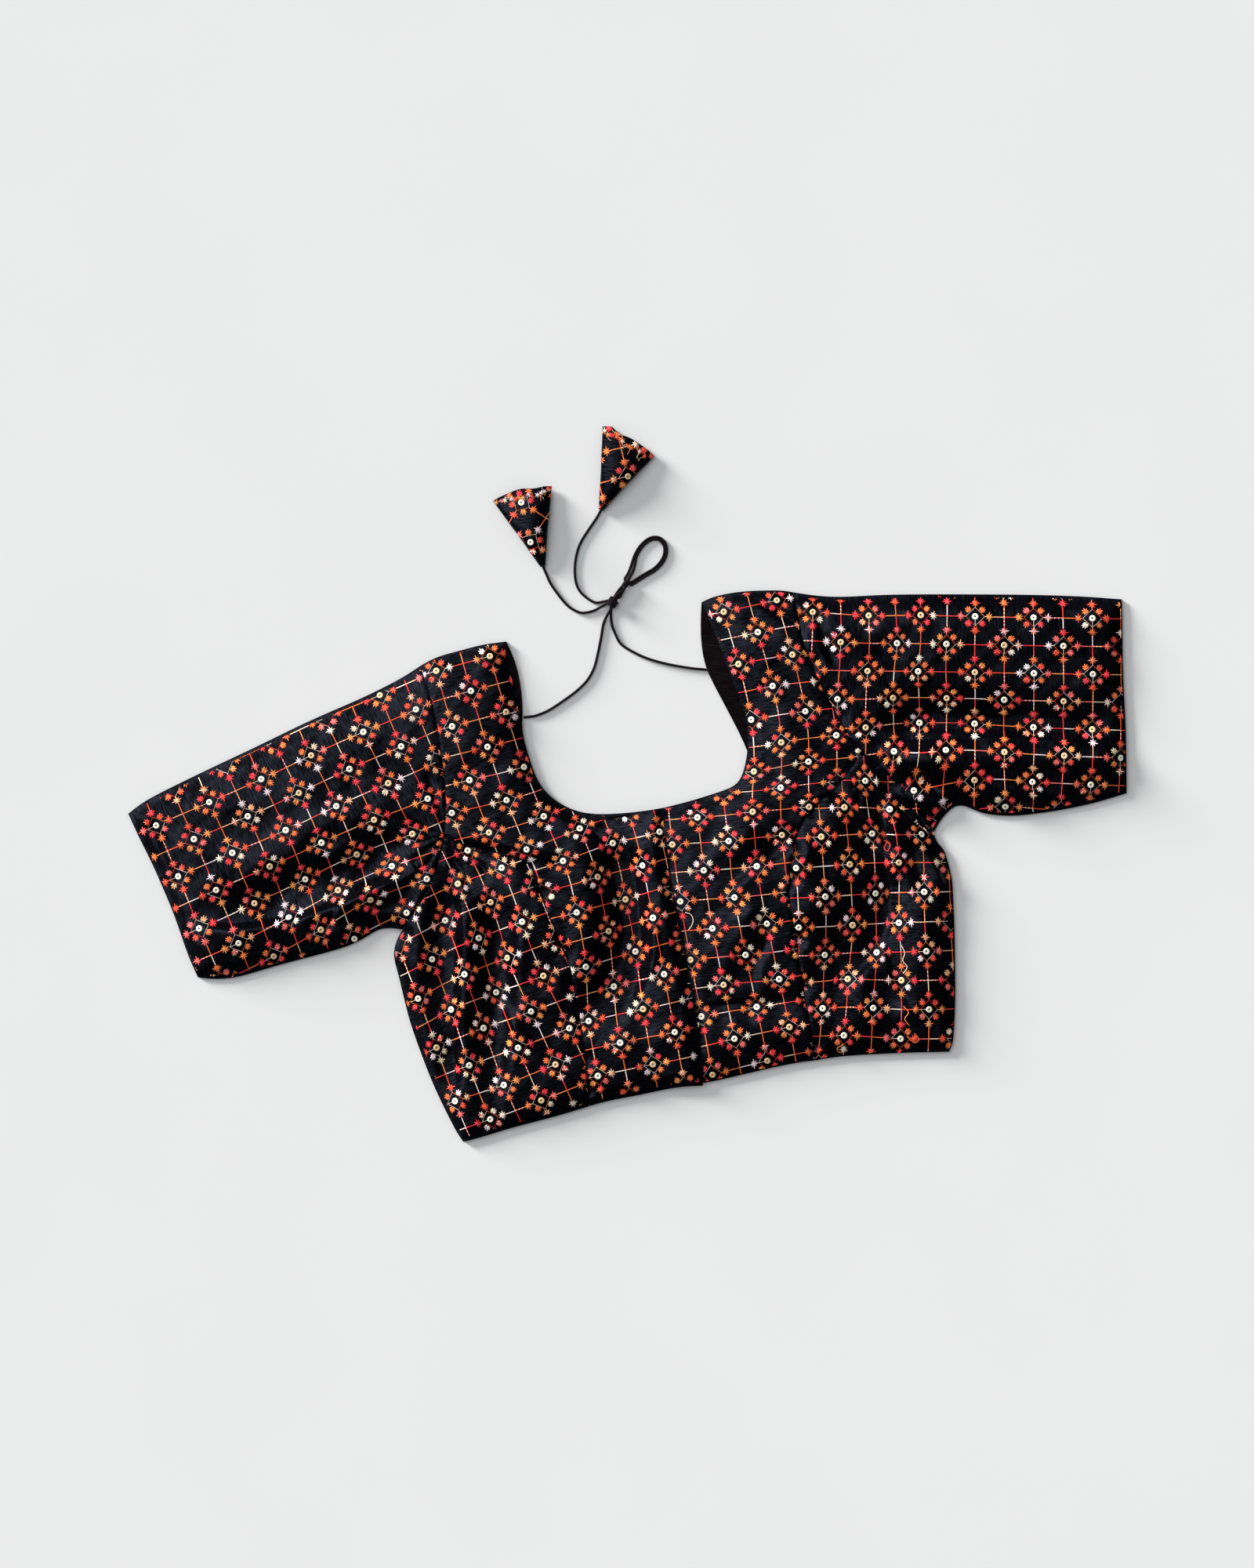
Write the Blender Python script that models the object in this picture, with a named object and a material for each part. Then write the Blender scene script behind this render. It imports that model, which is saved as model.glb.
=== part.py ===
"""Choli blouse laid flat, front up: six cloth panels, two sleeve tubes, and a tied neck cord with two latkans.

Metres, +Z up. The origin is on the floor under the middle of the cloth; the wearer's right is at -X.
"""

import math
from collections import namedtuple

import bmesh
import bpy
import numpy as np

# Cloth
CLOTH = 0.0014  # wall: dupion, its lining and the embroidery
SEAM_GAP = 0.0003  # between neighbouring panels, and between a panel and the one it lies on
FRONT_BASE = CLOTH + SEAM_GAP  # underside of the front where it lies on the back
EDGE_ROLL = 0.0009  # how far the top of a sleeve drops where it rolls round to the lower layer

# Front opening: the wearer's right front laps over the left one
LAP_WIDTH = 0.014
LAP_RISE = 0.0022
LAP_FLAT = 0.016  # full rise this far from the edge
LAP_RUN_OUT = 0.036  # no rise this far from it
UNDERLAP_LIFT = 0.3  # share of its fullness that the hidden edge keeps

# Fullness of the cloth over the layer beneath
FULLNESS = 0.0034
FULLNESS_REACH = 0.034  # from an outer edge to full height
FOLD_REACH = 0.014  # from an outer edge to where a fold has its whole height

# Neck cord and latkans
CORD_DIAMETER = 0.0021
CORD_CLEAR = 0.00005  # between the cord and the floor
CORD_POINT_SPACING = 0.0060
CORD_FEWEST_STEPS = 4
CORD_BEVEL_RESOLUTION = 2  # eight sides
LATKAN_WALL = 0.0012
LATKAN_SIDES = 16
LATKAN_SECTIONS = 6

SAMPLES_PER_SPAN = 12  # of a seam's smooth curve, before it is stepped evenly
FOLD_STEPS = 8  # straight pieces that a fold's line is measured from
SHARP_ANGLE = math.radians(50)

Seam = namedtuple("Seam", "steps points")
Fold = namedtuple("Fold", "start middle end width height")
Bust = namedtuple("Bust", "centre radius height")
KnotSection = namedtuple("KnotSection", "along radius")
Latkan = namedtuple("Latkan", "apex corner_a corner_b mouth_bumps")

# Every seam and edge of the blouse as it lies: steps along it, then x, y of the points that shape it
SEAMS = {
    "shoulder_right": Seam(9, [
        (-0.1640, 0.1590), (-0.1510, 0.1659), (-0.1336, 0.1708), (-0.1144, 0.1758), (-0.0958, 0.1783),
    ]),
    "shoulder_left": Seam(9, [
        (0.0586, 0.2093), (0.0679, 0.2136), (0.0859, 0.2173), (0.1051, 0.2186), (0.1249, 0.2186),
        (0.1311, 0.2173),
    ]),
    "neck_right": Seam(18, [
        (-0.0958, 0.1783), (-0.0915, 0.1566), (-0.0871, 0.1330), (-0.0834, 0.1200), (-0.0828, 0.1045),
        (-0.0791, 0.0915), (-0.0729, 0.0722), (-0.0679, 0.0629), (-0.0580, 0.0530), (-0.0450, 0.0456),
        (-0.0301, 0.0419), (-0.0121, 0.0419), (0.0096, 0.0437), (0.0288, 0.0468),
    ]),
    "neck_left": Seam(18, [
        (0.0586, 0.2093), (0.0654, 0.1925), (0.0760, 0.1659), (0.0865, 0.1373), (0.0946, 0.1138),
        (0.0950, 0.0921), (0.0927, 0.0784), (0.0902, 0.0685), (0.0853, 0.0636), (0.0704, 0.0586),
        (0.0530, 0.0530), (0.0313, 0.0474), (0.0148, 0.0435),
    ]),
    "neck_back": Seam(34, [
        (-0.0958, 0.1783), (-0.0877, 0.1609), (-0.0846, 0.1460), (-0.0828, 0.1305), (-0.0823, 0.1180),
        (-0.0850, 0.0900), (-0.0840, 0.0450), (-0.0700, 0.0050), (-0.0400, -0.0220), (0.0050, -0.0330),
        (0.0500, -0.0260), (0.0840, -0.0050), (0.1000, 0.0280), (0.1020, 0.0650), (0.0946, 0.0927),
        (0.0778, 0.1262), (0.0648, 0.1504), (0.0617, 0.1559), (0.0586, 0.1733), (0.0574, 0.1857),
        (0.0586, 0.2093),
    ]),
    "front_opening": Seam(16, [
        (0.0288, 0.0468), (0.0295, 0.0388), (0.0313, 0.0177), (0.0332, -0.0009), (0.0375, -0.0245),
        (0.0412, -0.0437), (0.0474, -0.0766), (0.0530, -0.1051), (0.0567, -0.1379), (0.0605, -0.1572),
        (0.0598, -0.1733),
    ]),
    "armhole_right_upper": Seam(12, [
        (-0.1640, 0.1590), (-0.1535, 0.1262), (-0.1466, 0.0853), (-0.1435, 0.0549), (-0.1448, 0.0245),
    ]),
    "armhole_right_lower": Seam(8, [
        (-0.1448, 0.0245), (-0.1516, -0.0028), (-0.1628, -0.0276), (-0.1783, -0.0499),
    ]),
    "armhole_left_upper": Seam(12, [
        (0.1311, 0.2173), (0.1367, 0.1869), (0.1442, 0.1609), (0.1553, 0.1392), (0.1702, 0.1107),
        (0.1875, 0.0890),
    ]),
    "armhole_left_lower": Seam(8, [
        (0.1875, 0.0890), (0.2136, 0.0654), (0.2291, 0.0499), (0.2427, 0.0270),
    ]),
    "princess_right": Seam(22, [
        (-0.1448, 0.0245), (-0.1268, 0.0164), (-0.0983, 0.0102), (-0.0790, 0.0040), (-0.0722, -0.0060),
        (-0.0690, -0.0214), (-0.0611, -0.0388), (-0.0524, -0.0617), (-0.0437, -0.0846),
        (-0.0406, -0.1063), (-0.0369, -0.1243), (-0.0332, -0.1510), (-0.0301, -0.1897),
    ]),
    "princess_left": Seam(22, [
        (0.1875, 0.0890), (0.1795, 0.0828), (0.1683, 0.0660), (0.1547, 0.0543), (0.1373, 0.0332),
        (0.1299, 0.0084), (0.1274, -0.0183), (0.1305, -0.0431), (0.1349, -0.0691), (0.1404, -0.1051),
        (0.1448, -0.1268), (0.1485, -0.1535),
    ]),
    "side_right": Seam(22, [
        (-0.1783, -0.0499), (-0.1838, -0.0605), (-0.1851, -0.0716), (-0.1814, -0.0853), (-0.1758, -0.1088),
        (-0.1696, -0.1305), (-0.1541, -0.1714), (-0.1367, -0.2074), (-0.1299, -0.2179),
    ]),
    "side_left": Seam(22, [
        (0.2427, 0.0270), (0.2434, 0.0208), (0.2502, 0.0152), (0.2545, 0.0003), (0.2570, -0.0090),
        (0.2589, -0.0474), (0.2595, -0.0822), (0.2595, -0.1082), (0.2576, -0.1417), (0.2545, -0.1466),
    ]),
    "hem_side_right": Seam(8, [
        (-0.1299, -0.2179), (-0.1200, -0.2155), (-0.0915, -0.2068), (-0.0561, -0.1975), (-0.0301, -0.1897),
    ]),
    "hem_centre_right": Seam(9, [
        (-0.0301, -0.1897), (-0.0189, -0.1863), (0.0096, -0.1807), (0.0400, -0.1745), (0.0598, -0.1733),
    ]),
    "hem_centre_left": Seam(9, [
        (0.0458, -0.1720), (0.0611, -0.1714), (0.0964, -0.1634), (0.1293, -0.1559), (0.1485, -0.1535),
    ]),
    "hem_side_left": Seam(8, [
        (0.1485, -0.1535), (0.1665, -0.1504), (0.1969, -0.1485), (0.2229, -0.1473), (0.2545, -0.1466),
    ]),
    "hem_back": Seam(24, [
        (-0.1299, -0.2179), (-0.1200, -0.2150), (-0.0915, -0.2063), (-0.0189, -0.1858), (0.0400, -0.1738),
        (0.0964, -0.1629), (0.1665, -0.1499), (0.2229, -0.1468), (0.2545, -0.1466),
    ]),
    "cuff_right": Seam(20, [
        (-0.3953, 0.0419), (-0.3860, 0.0220), (-0.3748, -0.0009), (-0.3599, -0.0357), (-0.3481, -0.0691),
        (-0.3401, -0.0877),
    ]),
    "cuff_left": Seam(20, [
        (0.3915, 0.2117), (0.3925, 0.1522), (0.3945, 0.1088), (0.3953, 0.0580),
    ]),
    "sleeve_top_right": Seam(18, [
        (-0.3953, 0.0419), (-0.3816, 0.0524), (-0.3382, 0.0741), (-0.2948, 0.0946), (-0.2514, 0.1156),
        (-0.2074, 0.1349), (-0.1770, 0.1504), (-0.1640, 0.1590),
    ]),
    "sleeve_top_left": Seam(18, [
        (0.1311, 0.2173), (0.1379, 0.2161), (0.1528, 0.2142), (0.1702, 0.2136), (0.2136, 0.2155),
        (0.3010, 0.2155), (0.3550, 0.2142), (0.3915, 0.2117),
    ]),
    "underarm_right": Seam(18, [
        (-0.3401, -0.0877), (-0.3295, -0.0890), (-0.3097, -0.0877), (-0.2750, -0.0778), (-0.2248, -0.0642),
        (-0.2074, -0.0561), (-0.1944, -0.0485), (-0.1783, -0.0499),
    ]),
    "underarm_left": Seam(18, [
        (0.2427, 0.0270), (0.2452, 0.0326), (0.2527, 0.0425), (0.2620, 0.0499), (0.2682, 0.0481),
        (0.2762, 0.0437), (0.2855, 0.0412), (0.3054, 0.0400), (0.3289, 0.0425), (0.3512, 0.0462),
        (0.3729, 0.0512), (0.3953, 0.0580),
    ]),
}

# The seams that bound the cloth from outside, where its fullness runs out
OUTER_EDGES = [
    "shoulder_right", "shoulder_left", "neck_right", "neck_left", "side_right", "side_left",
    "hem_side_right", "hem_centre_right", "hem_centre_left", "hem_side_left", "cuff_right", "cuff_left",
    "sleeve_top_right", "sleeve_top_left", "underarm_right", "underarm_left",
]

# A front panel is a patch between four edges; left and right run from the shoulder or armhole to the hem
FRONT_PANELS = {
    "front_centre_right": {
        "top": ["shoulder_right"],
        "bottom": ["hem_centre_right"],
        "left": ["armhole_right_upper", "princess_right"],
        "right": ["neck_right", "front_opening"],
    },
    "front_side_right": {
        "top": ["armhole_right_lower"],
        "bottom": ["hem_side_right"],
        "left": ["side_right"],
        "right": ["princess_right"],
    },
    "front_centre_left": {
        "top": ["shoulder_left"],
        "bottom": ["hem_centre_left"],
        "left": ["neck_left", "underlap"],
        "right": ["armhole_left_upper", "princess_left"],
    },
    "front_side_left": {
        "top": ["armhole_left_lower"],
        "bottom": ["hem_side_left"],
        "left": ["princess_left"],
        "right": ["side_left"],
    },
}

# Folds as they lie: ridges have a height above zero and troughs one below it
FOLDS = {
    "underarm trough right": Fold((-0.140, 0.013), (-0.152, -0.058), (-0.160, -0.116), 0.010, -0.0040),
    "underarm ridge right": Fold((-0.150, -0.010), (-0.166, -0.068), (-0.166, -0.110), 0.009, 0.0026),
    "side trough right": Fold((-0.131, -0.003), (-0.114, -0.040), (-0.108, -0.100), 0.009, -0.0036),
    "side ridge right": Fold((-0.138, -0.010), (-0.129, -0.056), (-0.134, -0.120), 0.010, 0.0038),
    "bust ridge right": Fold((-0.096, -0.004), (-0.088, -0.050), (-0.080, -0.120), 0.014, 0.0024),
    "armhole ridge right": Fold((-0.140, 0.022), (-0.110, 0.020), (-0.080, 0.013), 0.006, 0.0030),
    "armhole trough right": Fold((-0.138, 0.012), (-0.110, 0.004), (-0.084, -0.002), 0.006, -0.0022),
    "opening trough": Fold((-0.012, 0.026), (0.003, -0.055), (-0.023, -0.100), 0.013, -0.0050),
    "opening ridge right": Fold((-0.036, 0.010), (-0.030, -0.050), (-0.048, -0.098), 0.012, 0.0026),
    "overlap ridge": Fold((0.010, 0.004), (0.020, -0.060), (0.026, -0.130), 0.011, 0.0018),
    "hem ridge right": Fold((-0.012, -0.110), (-0.002, -0.145), (0.004, -0.172), 0.012, 0.0020),
    "armpit trough left": Fold((0.238, 0.018), (0.214, -0.014), (0.192, -0.040), 0.008, -0.0038),
    "armpit ridge left": Fold((0.228, 0.030), (0.202, 0.004), (0.180, -0.020), 0.008, 0.0034),
    "chest trough left": Fold((0.235, 0.034), (0.204, 0.050), (0.172, 0.058), 0.006, -0.0034),
    "chest ridge left": Fold((0.232, 0.024), (0.200, 0.036), (0.164, 0.040), 0.007, 0.0030),
    "side trough left a": Fold((0.176, -0.026), (0.164, -0.070), (0.162, -0.112), 0.009, -0.0034),
    "side ridge left": Fold((0.196, -0.040), (0.186, -0.076), (0.184, -0.118), 0.009, 0.0030),
    "side trough left b": Fold((0.216, -0.036), (0.208, -0.066), (0.207, -0.100), 0.009, -0.0032),
    "side ridge left b": Fold((0.240, -0.006), (0.234, -0.052), (0.232, -0.104), 0.010, 0.0028),
    "bust ridge left": Fold((0.092, 0.036), (0.094, -0.020), (0.092, -0.086), 0.015, 0.0028),
    "under bust tuck left": Fold((0.064, -0.114), (0.104, -0.113), (0.140, -0.106), 0.006, -0.0030),
    "waist ridge left": Fold((0.070, -0.128), (0.108, -0.126), (0.142, -0.120), 0.008, 0.0020),
    "sleeve trough left": Fold((0.208, 0.110), (0.300, 0.108), (0.392, 0.109), 0.012, -0.0042),
    "sleeve ridge left": Fold((0.214, 0.088), (0.300, 0.087), (0.386, 0.086), 0.010, 0.0036),
    "sleeve crumple left a": Fold((0.204, 0.067), (0.238, 0.066), (0.274, 0.058), 0.006, -0.0034),
    "sleeve crumple left b": Fold((0.222, 0.056), (0.244, 0.053), (0.266, 0.051), 0.006, 0.0026),
    "sleeve head ridge left": Fold((0.160, 0.196), (0.230, 0.190), (0.330, 0.192), 0.014, 0.0018),
    "sleeve trough right a": Fold((-0.275, -0.016), (-0.236, -0.002), (-0.196, 0.010), 0.011, -0.0034),
    "sleeve ridge right a": Fold((-0.300, -0.002), (-0.250, 0.022), (-0.200, 0.038), 0.013, 0.0028),
    "sleeve trough right b": Fold((-0.232, -0.044), (-0.208, -0.040), (-0.176, -0.026), 0.008, -0.0036),
    "sleeve ridge right b": Fold((-0.250, -0.036), (-0.214, -0.024), (-0.178, -0.010), 0.008, 0.0032),
    "sleeve ridge right c": Fold((-0.330, -0.052), (-0.290, -0.044), (-0.250, -0.058), 0.011, 0.0022),
}

BUST_FULLNESS = [
    Bust((-0.078, -0.040), 0.052, 0.0034),
    Bust((0.122, -0.020), 0.054, 0.0034),
]

# Neck cord: each stretch is laid on the floor through these x, y points
CORD_ROUTES = {
    "neck_cord_right": [
        (-0.0822, 0.1181), (-0.0729, 0.1194), (-0.0623, 0.1237), (-0.0499, 0.1318), (-0.0400, 0.1392),
        (-0.0319, 0.1473), (-0.0264, 0.1572), (-0.0233, 0.1690), (-0.0208, 0.1814), (-0.0184, 0.1938),
        (-0.0168, 0.2040),
    ],
    "neck_cord_left": [
        (-0.0140, 0.2021), (-0.0127, 0.1938), (-0.0102, 0.1857), (-0.0053, 0.1764), (0.0040, 0.1702),
        (0.0164, 0.1646), (0.0319, 0.1603), (0.0493, 0.1572), (0.0613, 0.1560),
    ],
    "tail_right": [
        (-0.0173, 0.2081), (-0.0252, 0.2032), (-0.0347, 0.2009), (-0.0404, 0.2022), (-0.0467, 0.2060),
        (-0.0530, 0.2130), (-0.0605, 0.2235), (-0.0642, 0.2316), (-0.0665, 0.2369),
    ],
    "tail_left": [
        (-0.0157, 0.2111), (-0.0218, 0.2092), (-0.0264, 0.2094), (-0.0321, 0.2126), (-0.0372, 0.2174),
        (-0.0404, 0.2237), (-0.0416, 0.2319), (-0.0413, 0.2408), (-0.0394, 0.2503), (-0.0366, 0.2572),
        (-0.0315, 0.2655), (-0.0246, 0.2756), (-0.0212, 0.2816),
    ],
    "loop_outer": [
        (-0.0020, 0.2280), (0.0008, 0.2326), (0.0031, 0.2387), (0.0053, 0.2455), (0.0081, 0.2511),
        (0.0121, 0.2561), (0.0171, 0.2598), (0.0220, 0.2610), (0.0267, 0.2598), (0.0301, 0.2561),
        (0.0313, 0.2508), (0.0304, 0.2452), (0.0273, 0.2396), (0.0220, 0.2344), (0.0152, 0.2303),
        (0.0079, 0.2258), (0.0031, 0.2229),
    ],
    "loop_inner": [
        (0.0008, 0.2273), (0.0044, 0.2338), (0.0061, 0.2400), (0.0082, 0.2441), (0.0107, 0.2487),
        (0.0141, 0.2529), (0.0180, 0.2565), (0.0220, 0.2581), (0.0255, 0.2571), (0.0280, 0.2541),
        (0.0288, 0.2505), (0.0280, 0.2461), (0.0252, 0.2412), (0.0206, 0.2365), (0.0142, 0.2327),
        (0.0076, 0.2289), (0.0026, 0.2258),
    ],
}

KNOT_START = (-0.0152, 0.2040)
KNOT_END = (0.0003, 0.2258)
KNOT_SIDES = 12
KNOT_FLATNESS = 0.62  # height as a share of width
KNOT_SECTIONS = [
    KnotSection(0.0000, 0.0024),
    KnotSection(0.0028, 0.0031),
    KnotSection(0.0066, 0.0043),
    KnotSection(0.0108, 0.0038),
    KnotSection(0.0142, 0.0028),
    KnotSection(0.0190, 0.0033),
    KnotSection(0.0244, 0.0033),
    KnotSection(0.0262, 0.0027),
    KnotSection(0.0273, 0.0016),
]

# A latkan is a flattened cone of cloth; its mouth runs between two corners with uneven tucks along it
LATKANS = {
    "latkan_right": Latkan(
        (-0.0668, 0.2374), (-0.1063, 0.2892), (-0.0598, 0.3010),
        [0.0, 0.0022, 0.0010, 0.0052, 0.0046, 0.0014, 0.0006, 0.0018, 0.0],
    ),
    "latkan_left": Latkan(
        (-0.0210, 0.2822), (-0.0195, 0.3481), (0.0214, 0.3246),
        [0.0, 0.0040, 0.0012, 0.0, 0.0034, 0.0040, 0.0008, 0.0022, 0.0],
    ),
}
LATKAN_NECK = 0.0021  # half width at the apex
LATKAN_APEX_HEIGHT = 0.0042
LATKAN_BELLY_RISE = 0.0050  # that its middle stands over a straight line from apex to mouth
LATKAN_MOUTH_HEIGHT = 0.0066
LATKAN_CLOSED_END = 0.0050  # solid cloth gathered at the apex
LATKAN_TUCKS_FROM = 0.8  # share of its length where the mouth's tucks begin

BLACK_SILK = (0.012, 0.013, 0.022, 1.0)
BLACK_CORD = (0.010, 0.009, 0.011, 1.0)


def clear_scene():
    for thing in list(bpy.data.objects):
        bpy.data.objects.remove(thing, do_unlink=True)


def cloth_material(name, colour, roughness):
    material = bpy.data.materials.new(name)
    material.use_nodes = True
    shader = material.node_tree.nodes["Principled BSDF"]
    shader.inputs["Base Color"].default_value = colour
    shader.inputs["Roughness"].default_value = roughness
    shader.inputs["Metallic"].default_value = 0.0
    return material


def spline_points(points):
    """A smooth curve through the points, closely sampled."""
    known = np.array(points, float)
    before = 2 * known[0] - known[1]
    after = 2 * known[-1] - known[-2]
    padded = np.vstack([before, known, after])
    samples = [known[0]]
    for span in range(len(known) - 1):
        p0, p1, p2, p3 = padded[span:span + 4]
        for step in range(1, SAMPLES_PER_SPAN + 1):
            t = step / SAMPLES_PER_SPAN
            samples.append(0.5 * (
                2 * p1 + (p2 - p0) * t
                + (2 * p0 - 5 * p1 + 4 * p2 - p3) * t ** 2
                + (3 * p1 - p0 - 3 * p2 + p3) * t ** 3
            ))
    return np.array(samples)


def even_steps(points, steps):
    """The smooth curve through the points, in equal steps along its length."""
    samples = spline_points(points)
    lengths = np.linalg.norm(np.diff(samples, axis=0), axis=1)
    along = np.concatenate([[0.0], np.cumsum(lengths)])
    wanted = np.linspace(0.0, along[-1], steps + 1)
    return np.column_stack([np.interp(wanted, along, samples[:, axis]) for axis in range(samples.shape[1])])


def seam_curves():
    curves = {name: even_steps(seam.points, seam.steps) for name, seam in SEAMS.items()}
    shift = np.zeros_like(curves["front_opening"])
    shift[:, 0] = -LAP_WIDTH
    underlap = curves["front_opening"] + shift
    underlap[0] = curves["neck_left"][-1]
    underlap[-1] = curves["hem_centre_left"][0]
    curves["underlap"] = underlap
    return curves


def joined(curves, names):
    """Several seams end to end as one edge."""
    parts = [curves[names[0]]]
    parts += [curves[name][1:] for name in names[1:]]
    return np.vstack(parts)


def distance_to_line(points, line):
    """Each point's distance to a run of straight segments."""
    nearest = np.full(len(points), np.inf)
    for start, end in zip(line[:-1], line[1:]):
        run = end - start
        share = np.clip((points - start) @ run / (run @ run), 0.0, 1.0)
        foot = start + share[:, None] * run
        nearest = np.minimum(nearest, np.linalg.norm(points - foot, axis=1))
    return nearest


def smooth_step(share):
    share = np.clip(share, 0.0, 1.0)
    return share * share * (3 - 2 * share)


def along_fold(points, fold):
    """Height of one fold at each point: round across it, running out at both ends."""
    line = even_steps([fold.start, fold.middle, fold.end], FOLD_STEPS)
    across = distance_to_line(points, line)
    return fold.height * np.exp(-(across / fold.width) ** 2)


def lift(points, curves):
    """How far the upper cloth stands off the layer beneath it."""
    edge = np.full(len(points), np.inf)
    for name in OUTER_EDGES:
        edge = np.minimum(edge, distance_to_line(points, curves[name]))
    height = FULLNESS * smooth_step(edge / FULLNESS_REACH)
    for bust in BUST_FULLNESS:
        away = np.linalg.norm(points - np.array(bust.centre), axis=1)
        height += bust.height * np.exp(-(away / bust.radius) ** 2) * smooth_step(edge / FULLNESS_REACH)
    folds = sum(along_fold(points, fold) for fold in FOLDS.values())
    height += folds * smooth_step(edge / FOLD_REACH)
    return np.maximum(height, 0.0)


def patch(left, right, top, bottom):
    """A grid of x, y points that fills the space between four edges."""
    rows, columns = len(left), len(top)
    v = np.linspace(0.0, 1.0, rows)[:, None, None]
    u = np.linspace(0.0, 1.0, columns)[None, :, None]
    across = (1 - u) * left[:, None, :] + u * right[:, None, :]
    down = (1 - v) * top[None, :, :] + v * bottom[None, :, :]
    corners = (
        (1 - u) * (1 - v) * top[0] + u * (1 - v) * top[-1]
        + (1 - u) * v * bottom[0] + u * v * bottom[-1]
    )
    return across + down - corners


def rim_indices(rows, columns):
    """Row and column of each point round a grid's rim, in order."""
    rim = [(0, column) for column in range(columns)]
    rim += [(row, columns - 1) for row in range(1, rows)]
    rim += [(rows - 1, column) for column in range(columns - 2, -1, -1)]
    rim += [(row, 0) for row in range(rows - 2, 0, -1)]
    return rim


def inset_loop(loop, distance):
    """A closed outline moved inwards by a distance."""
    x, y = loop[:, 0], loop[:, 1]
    area = np.sum(x * np.roll(y, -1) - np.roll(x, -1) * y)
    turn = 1.0 if area > 0 else -1.0
    ahead = np.roll(loop, -1, axis=0) - loop
    ahead /= np.linalg.norm(ahead, axis=1)[:, None]
    normal = turn * np.column_stack([-ahead[:, 1], ahead[:, 0]])
    previous = np.roll(normal, 1, axis=0)
    spread = 1 + np.sum(normal * previous, axis=1)
    return loop + distance * (normal + previous) / spread[:, None]


def inset_grid(grid, distance):
    """The grid with its rim moved in, so that neighbours keep their gap at the seam."""
    rim = rim_indices(grid.shape[0], grid.shape[1])
    moved = inset_loop(np.array([grid[place] for place in rim]), distance)
    for place, point in zip(rim, moved):
        grid[place] = point
    return grid


def add_object(name, bm, material):
    bmesh.ops.recalc_face_normals(bm, faces=bm.faces)
    mesh = bpy.data.meshes.new(name)
    bm.to_mesh(mesh)
    bm.free()
    mesh.shade_smooth()
    mesh.set_sharp_from_angle(angle=SHARP_ANGLE)
    mesh.materials.append(material)
    thing = bpy.data.objects.new(name, mesh)
    bpy.context.collection.objects.link(thing)
    return thing


def grid_vertices(bm, grid, heights):
    """One vertex for each grid point, as rows."""
    rows, columns = grid.shape[:2]
    return [
        [bm.verts.new((grid[r, c, 0], grid[r, c, 1], heights[r, c])) for c in range(columns)]
        for r in range(rows)
    ]


def grid_faces(bm, verts):
    for upper, lower in zip(verts[:-1], verts[1:]):
        for c in range(len(upper) - 1):
            bm.faces.new((upper[c], upper[c + 1], lower[c + 1], lower[c]))


def wall_faces(bm, first, second, closed):
    """A strip of faces between two rows of vertices of equal length."""
    last = len(first) if closed else len(first) - 1
    for c in range(last):
        n = (c + 1) % len(first)
        bm.faces.new((first[c], first[n], second[n], second[c]))


def make_front_panel(name, edges, curves, material):
    """A cloth wall that follows the folds, over the patch between its four edges."""
    grid = inset_grid(patch(
        joined(curves, edges["left"]), joined(curves, edges["right"]),
        joined(curves, edges["top"]), joined(curves, edges["bottom"]),
    ), SEAM_GAP / 2)
    rows, columns = grid.shape[:2]
    flat = grid.reshape(-1, 2)
    raised = lift(flat, curves)
    if name == "front_centre_right":
        to_edge = distance_to_line(flat, curves["front_opening"])
        raised += LAP_RISE * (1 - smooth_step((to_edge - LAP_FLAT) / (LAP_RUN_OUT - LAP_FLAT)))
    if name == "front_centre_left":
        to_edge = distance_to_line(flat, curves["underlap"])
        raised *= UNDERLAP_LIFT + (1 - UNDERLAP_LIFT) * smooth_step(to_edge / (2 * LAP_WIDTH))
    under = (FRONT_BASE + raised).reshape(rows, columns)
    bm = bmesh.new()
    lower = grid_vertices(bm, grid, under)
    upper = grid_vertices(bm, grid, under + CLOTH)
    grid_faces(bm, lower)
    grid_faces(bm, upper)
    rim = rim_indices(rows, columns)
    wall_faces(bm, [lower[r][c] for r, c in rim], [upper[r][c] for r, c in rim], True)
    return add_object(name, bm, material)


def make_back(curves, material):
    """The back: one flat panel on the floor, with a deep round neck."""
    outline = np.vstack([
        curves["neck_back"][:-1],
        curves["shoulder_left"][:-1],
        curves["armhole_left_upper"][:-1],
        curves["armhole_left_lower"][:-1],
        curves["side_left"][:-1],
        curves["hem_back"][::-1][:-1],
        curves["side_right"][::-1][:-1],
        curves["armhole_right_lower"][::-1][:-1],
        curves["armhole_right_upper"][::-1][:-1],
        curves["shoulder_right"][:-1],
    ])
    outline = inset_loop(outline, SEAM_GAP / 2)
    bm = bmesh.new()
    lower = [bm.verts.new((x, y, 0.0)) for x, y in outline]
    upper = [bm.verts.new((x, y, CLOTH)) for x, y in outline]
    faces = [bm.faces.new(lower), bm.faces.new(upper)]
    wall_faces(bm, lower, upper, True)
    bmesh.ops.triangulate(bm, faces=faces, ngon_method="BEAUTY")
    return add_object("back", bm, material)


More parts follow.
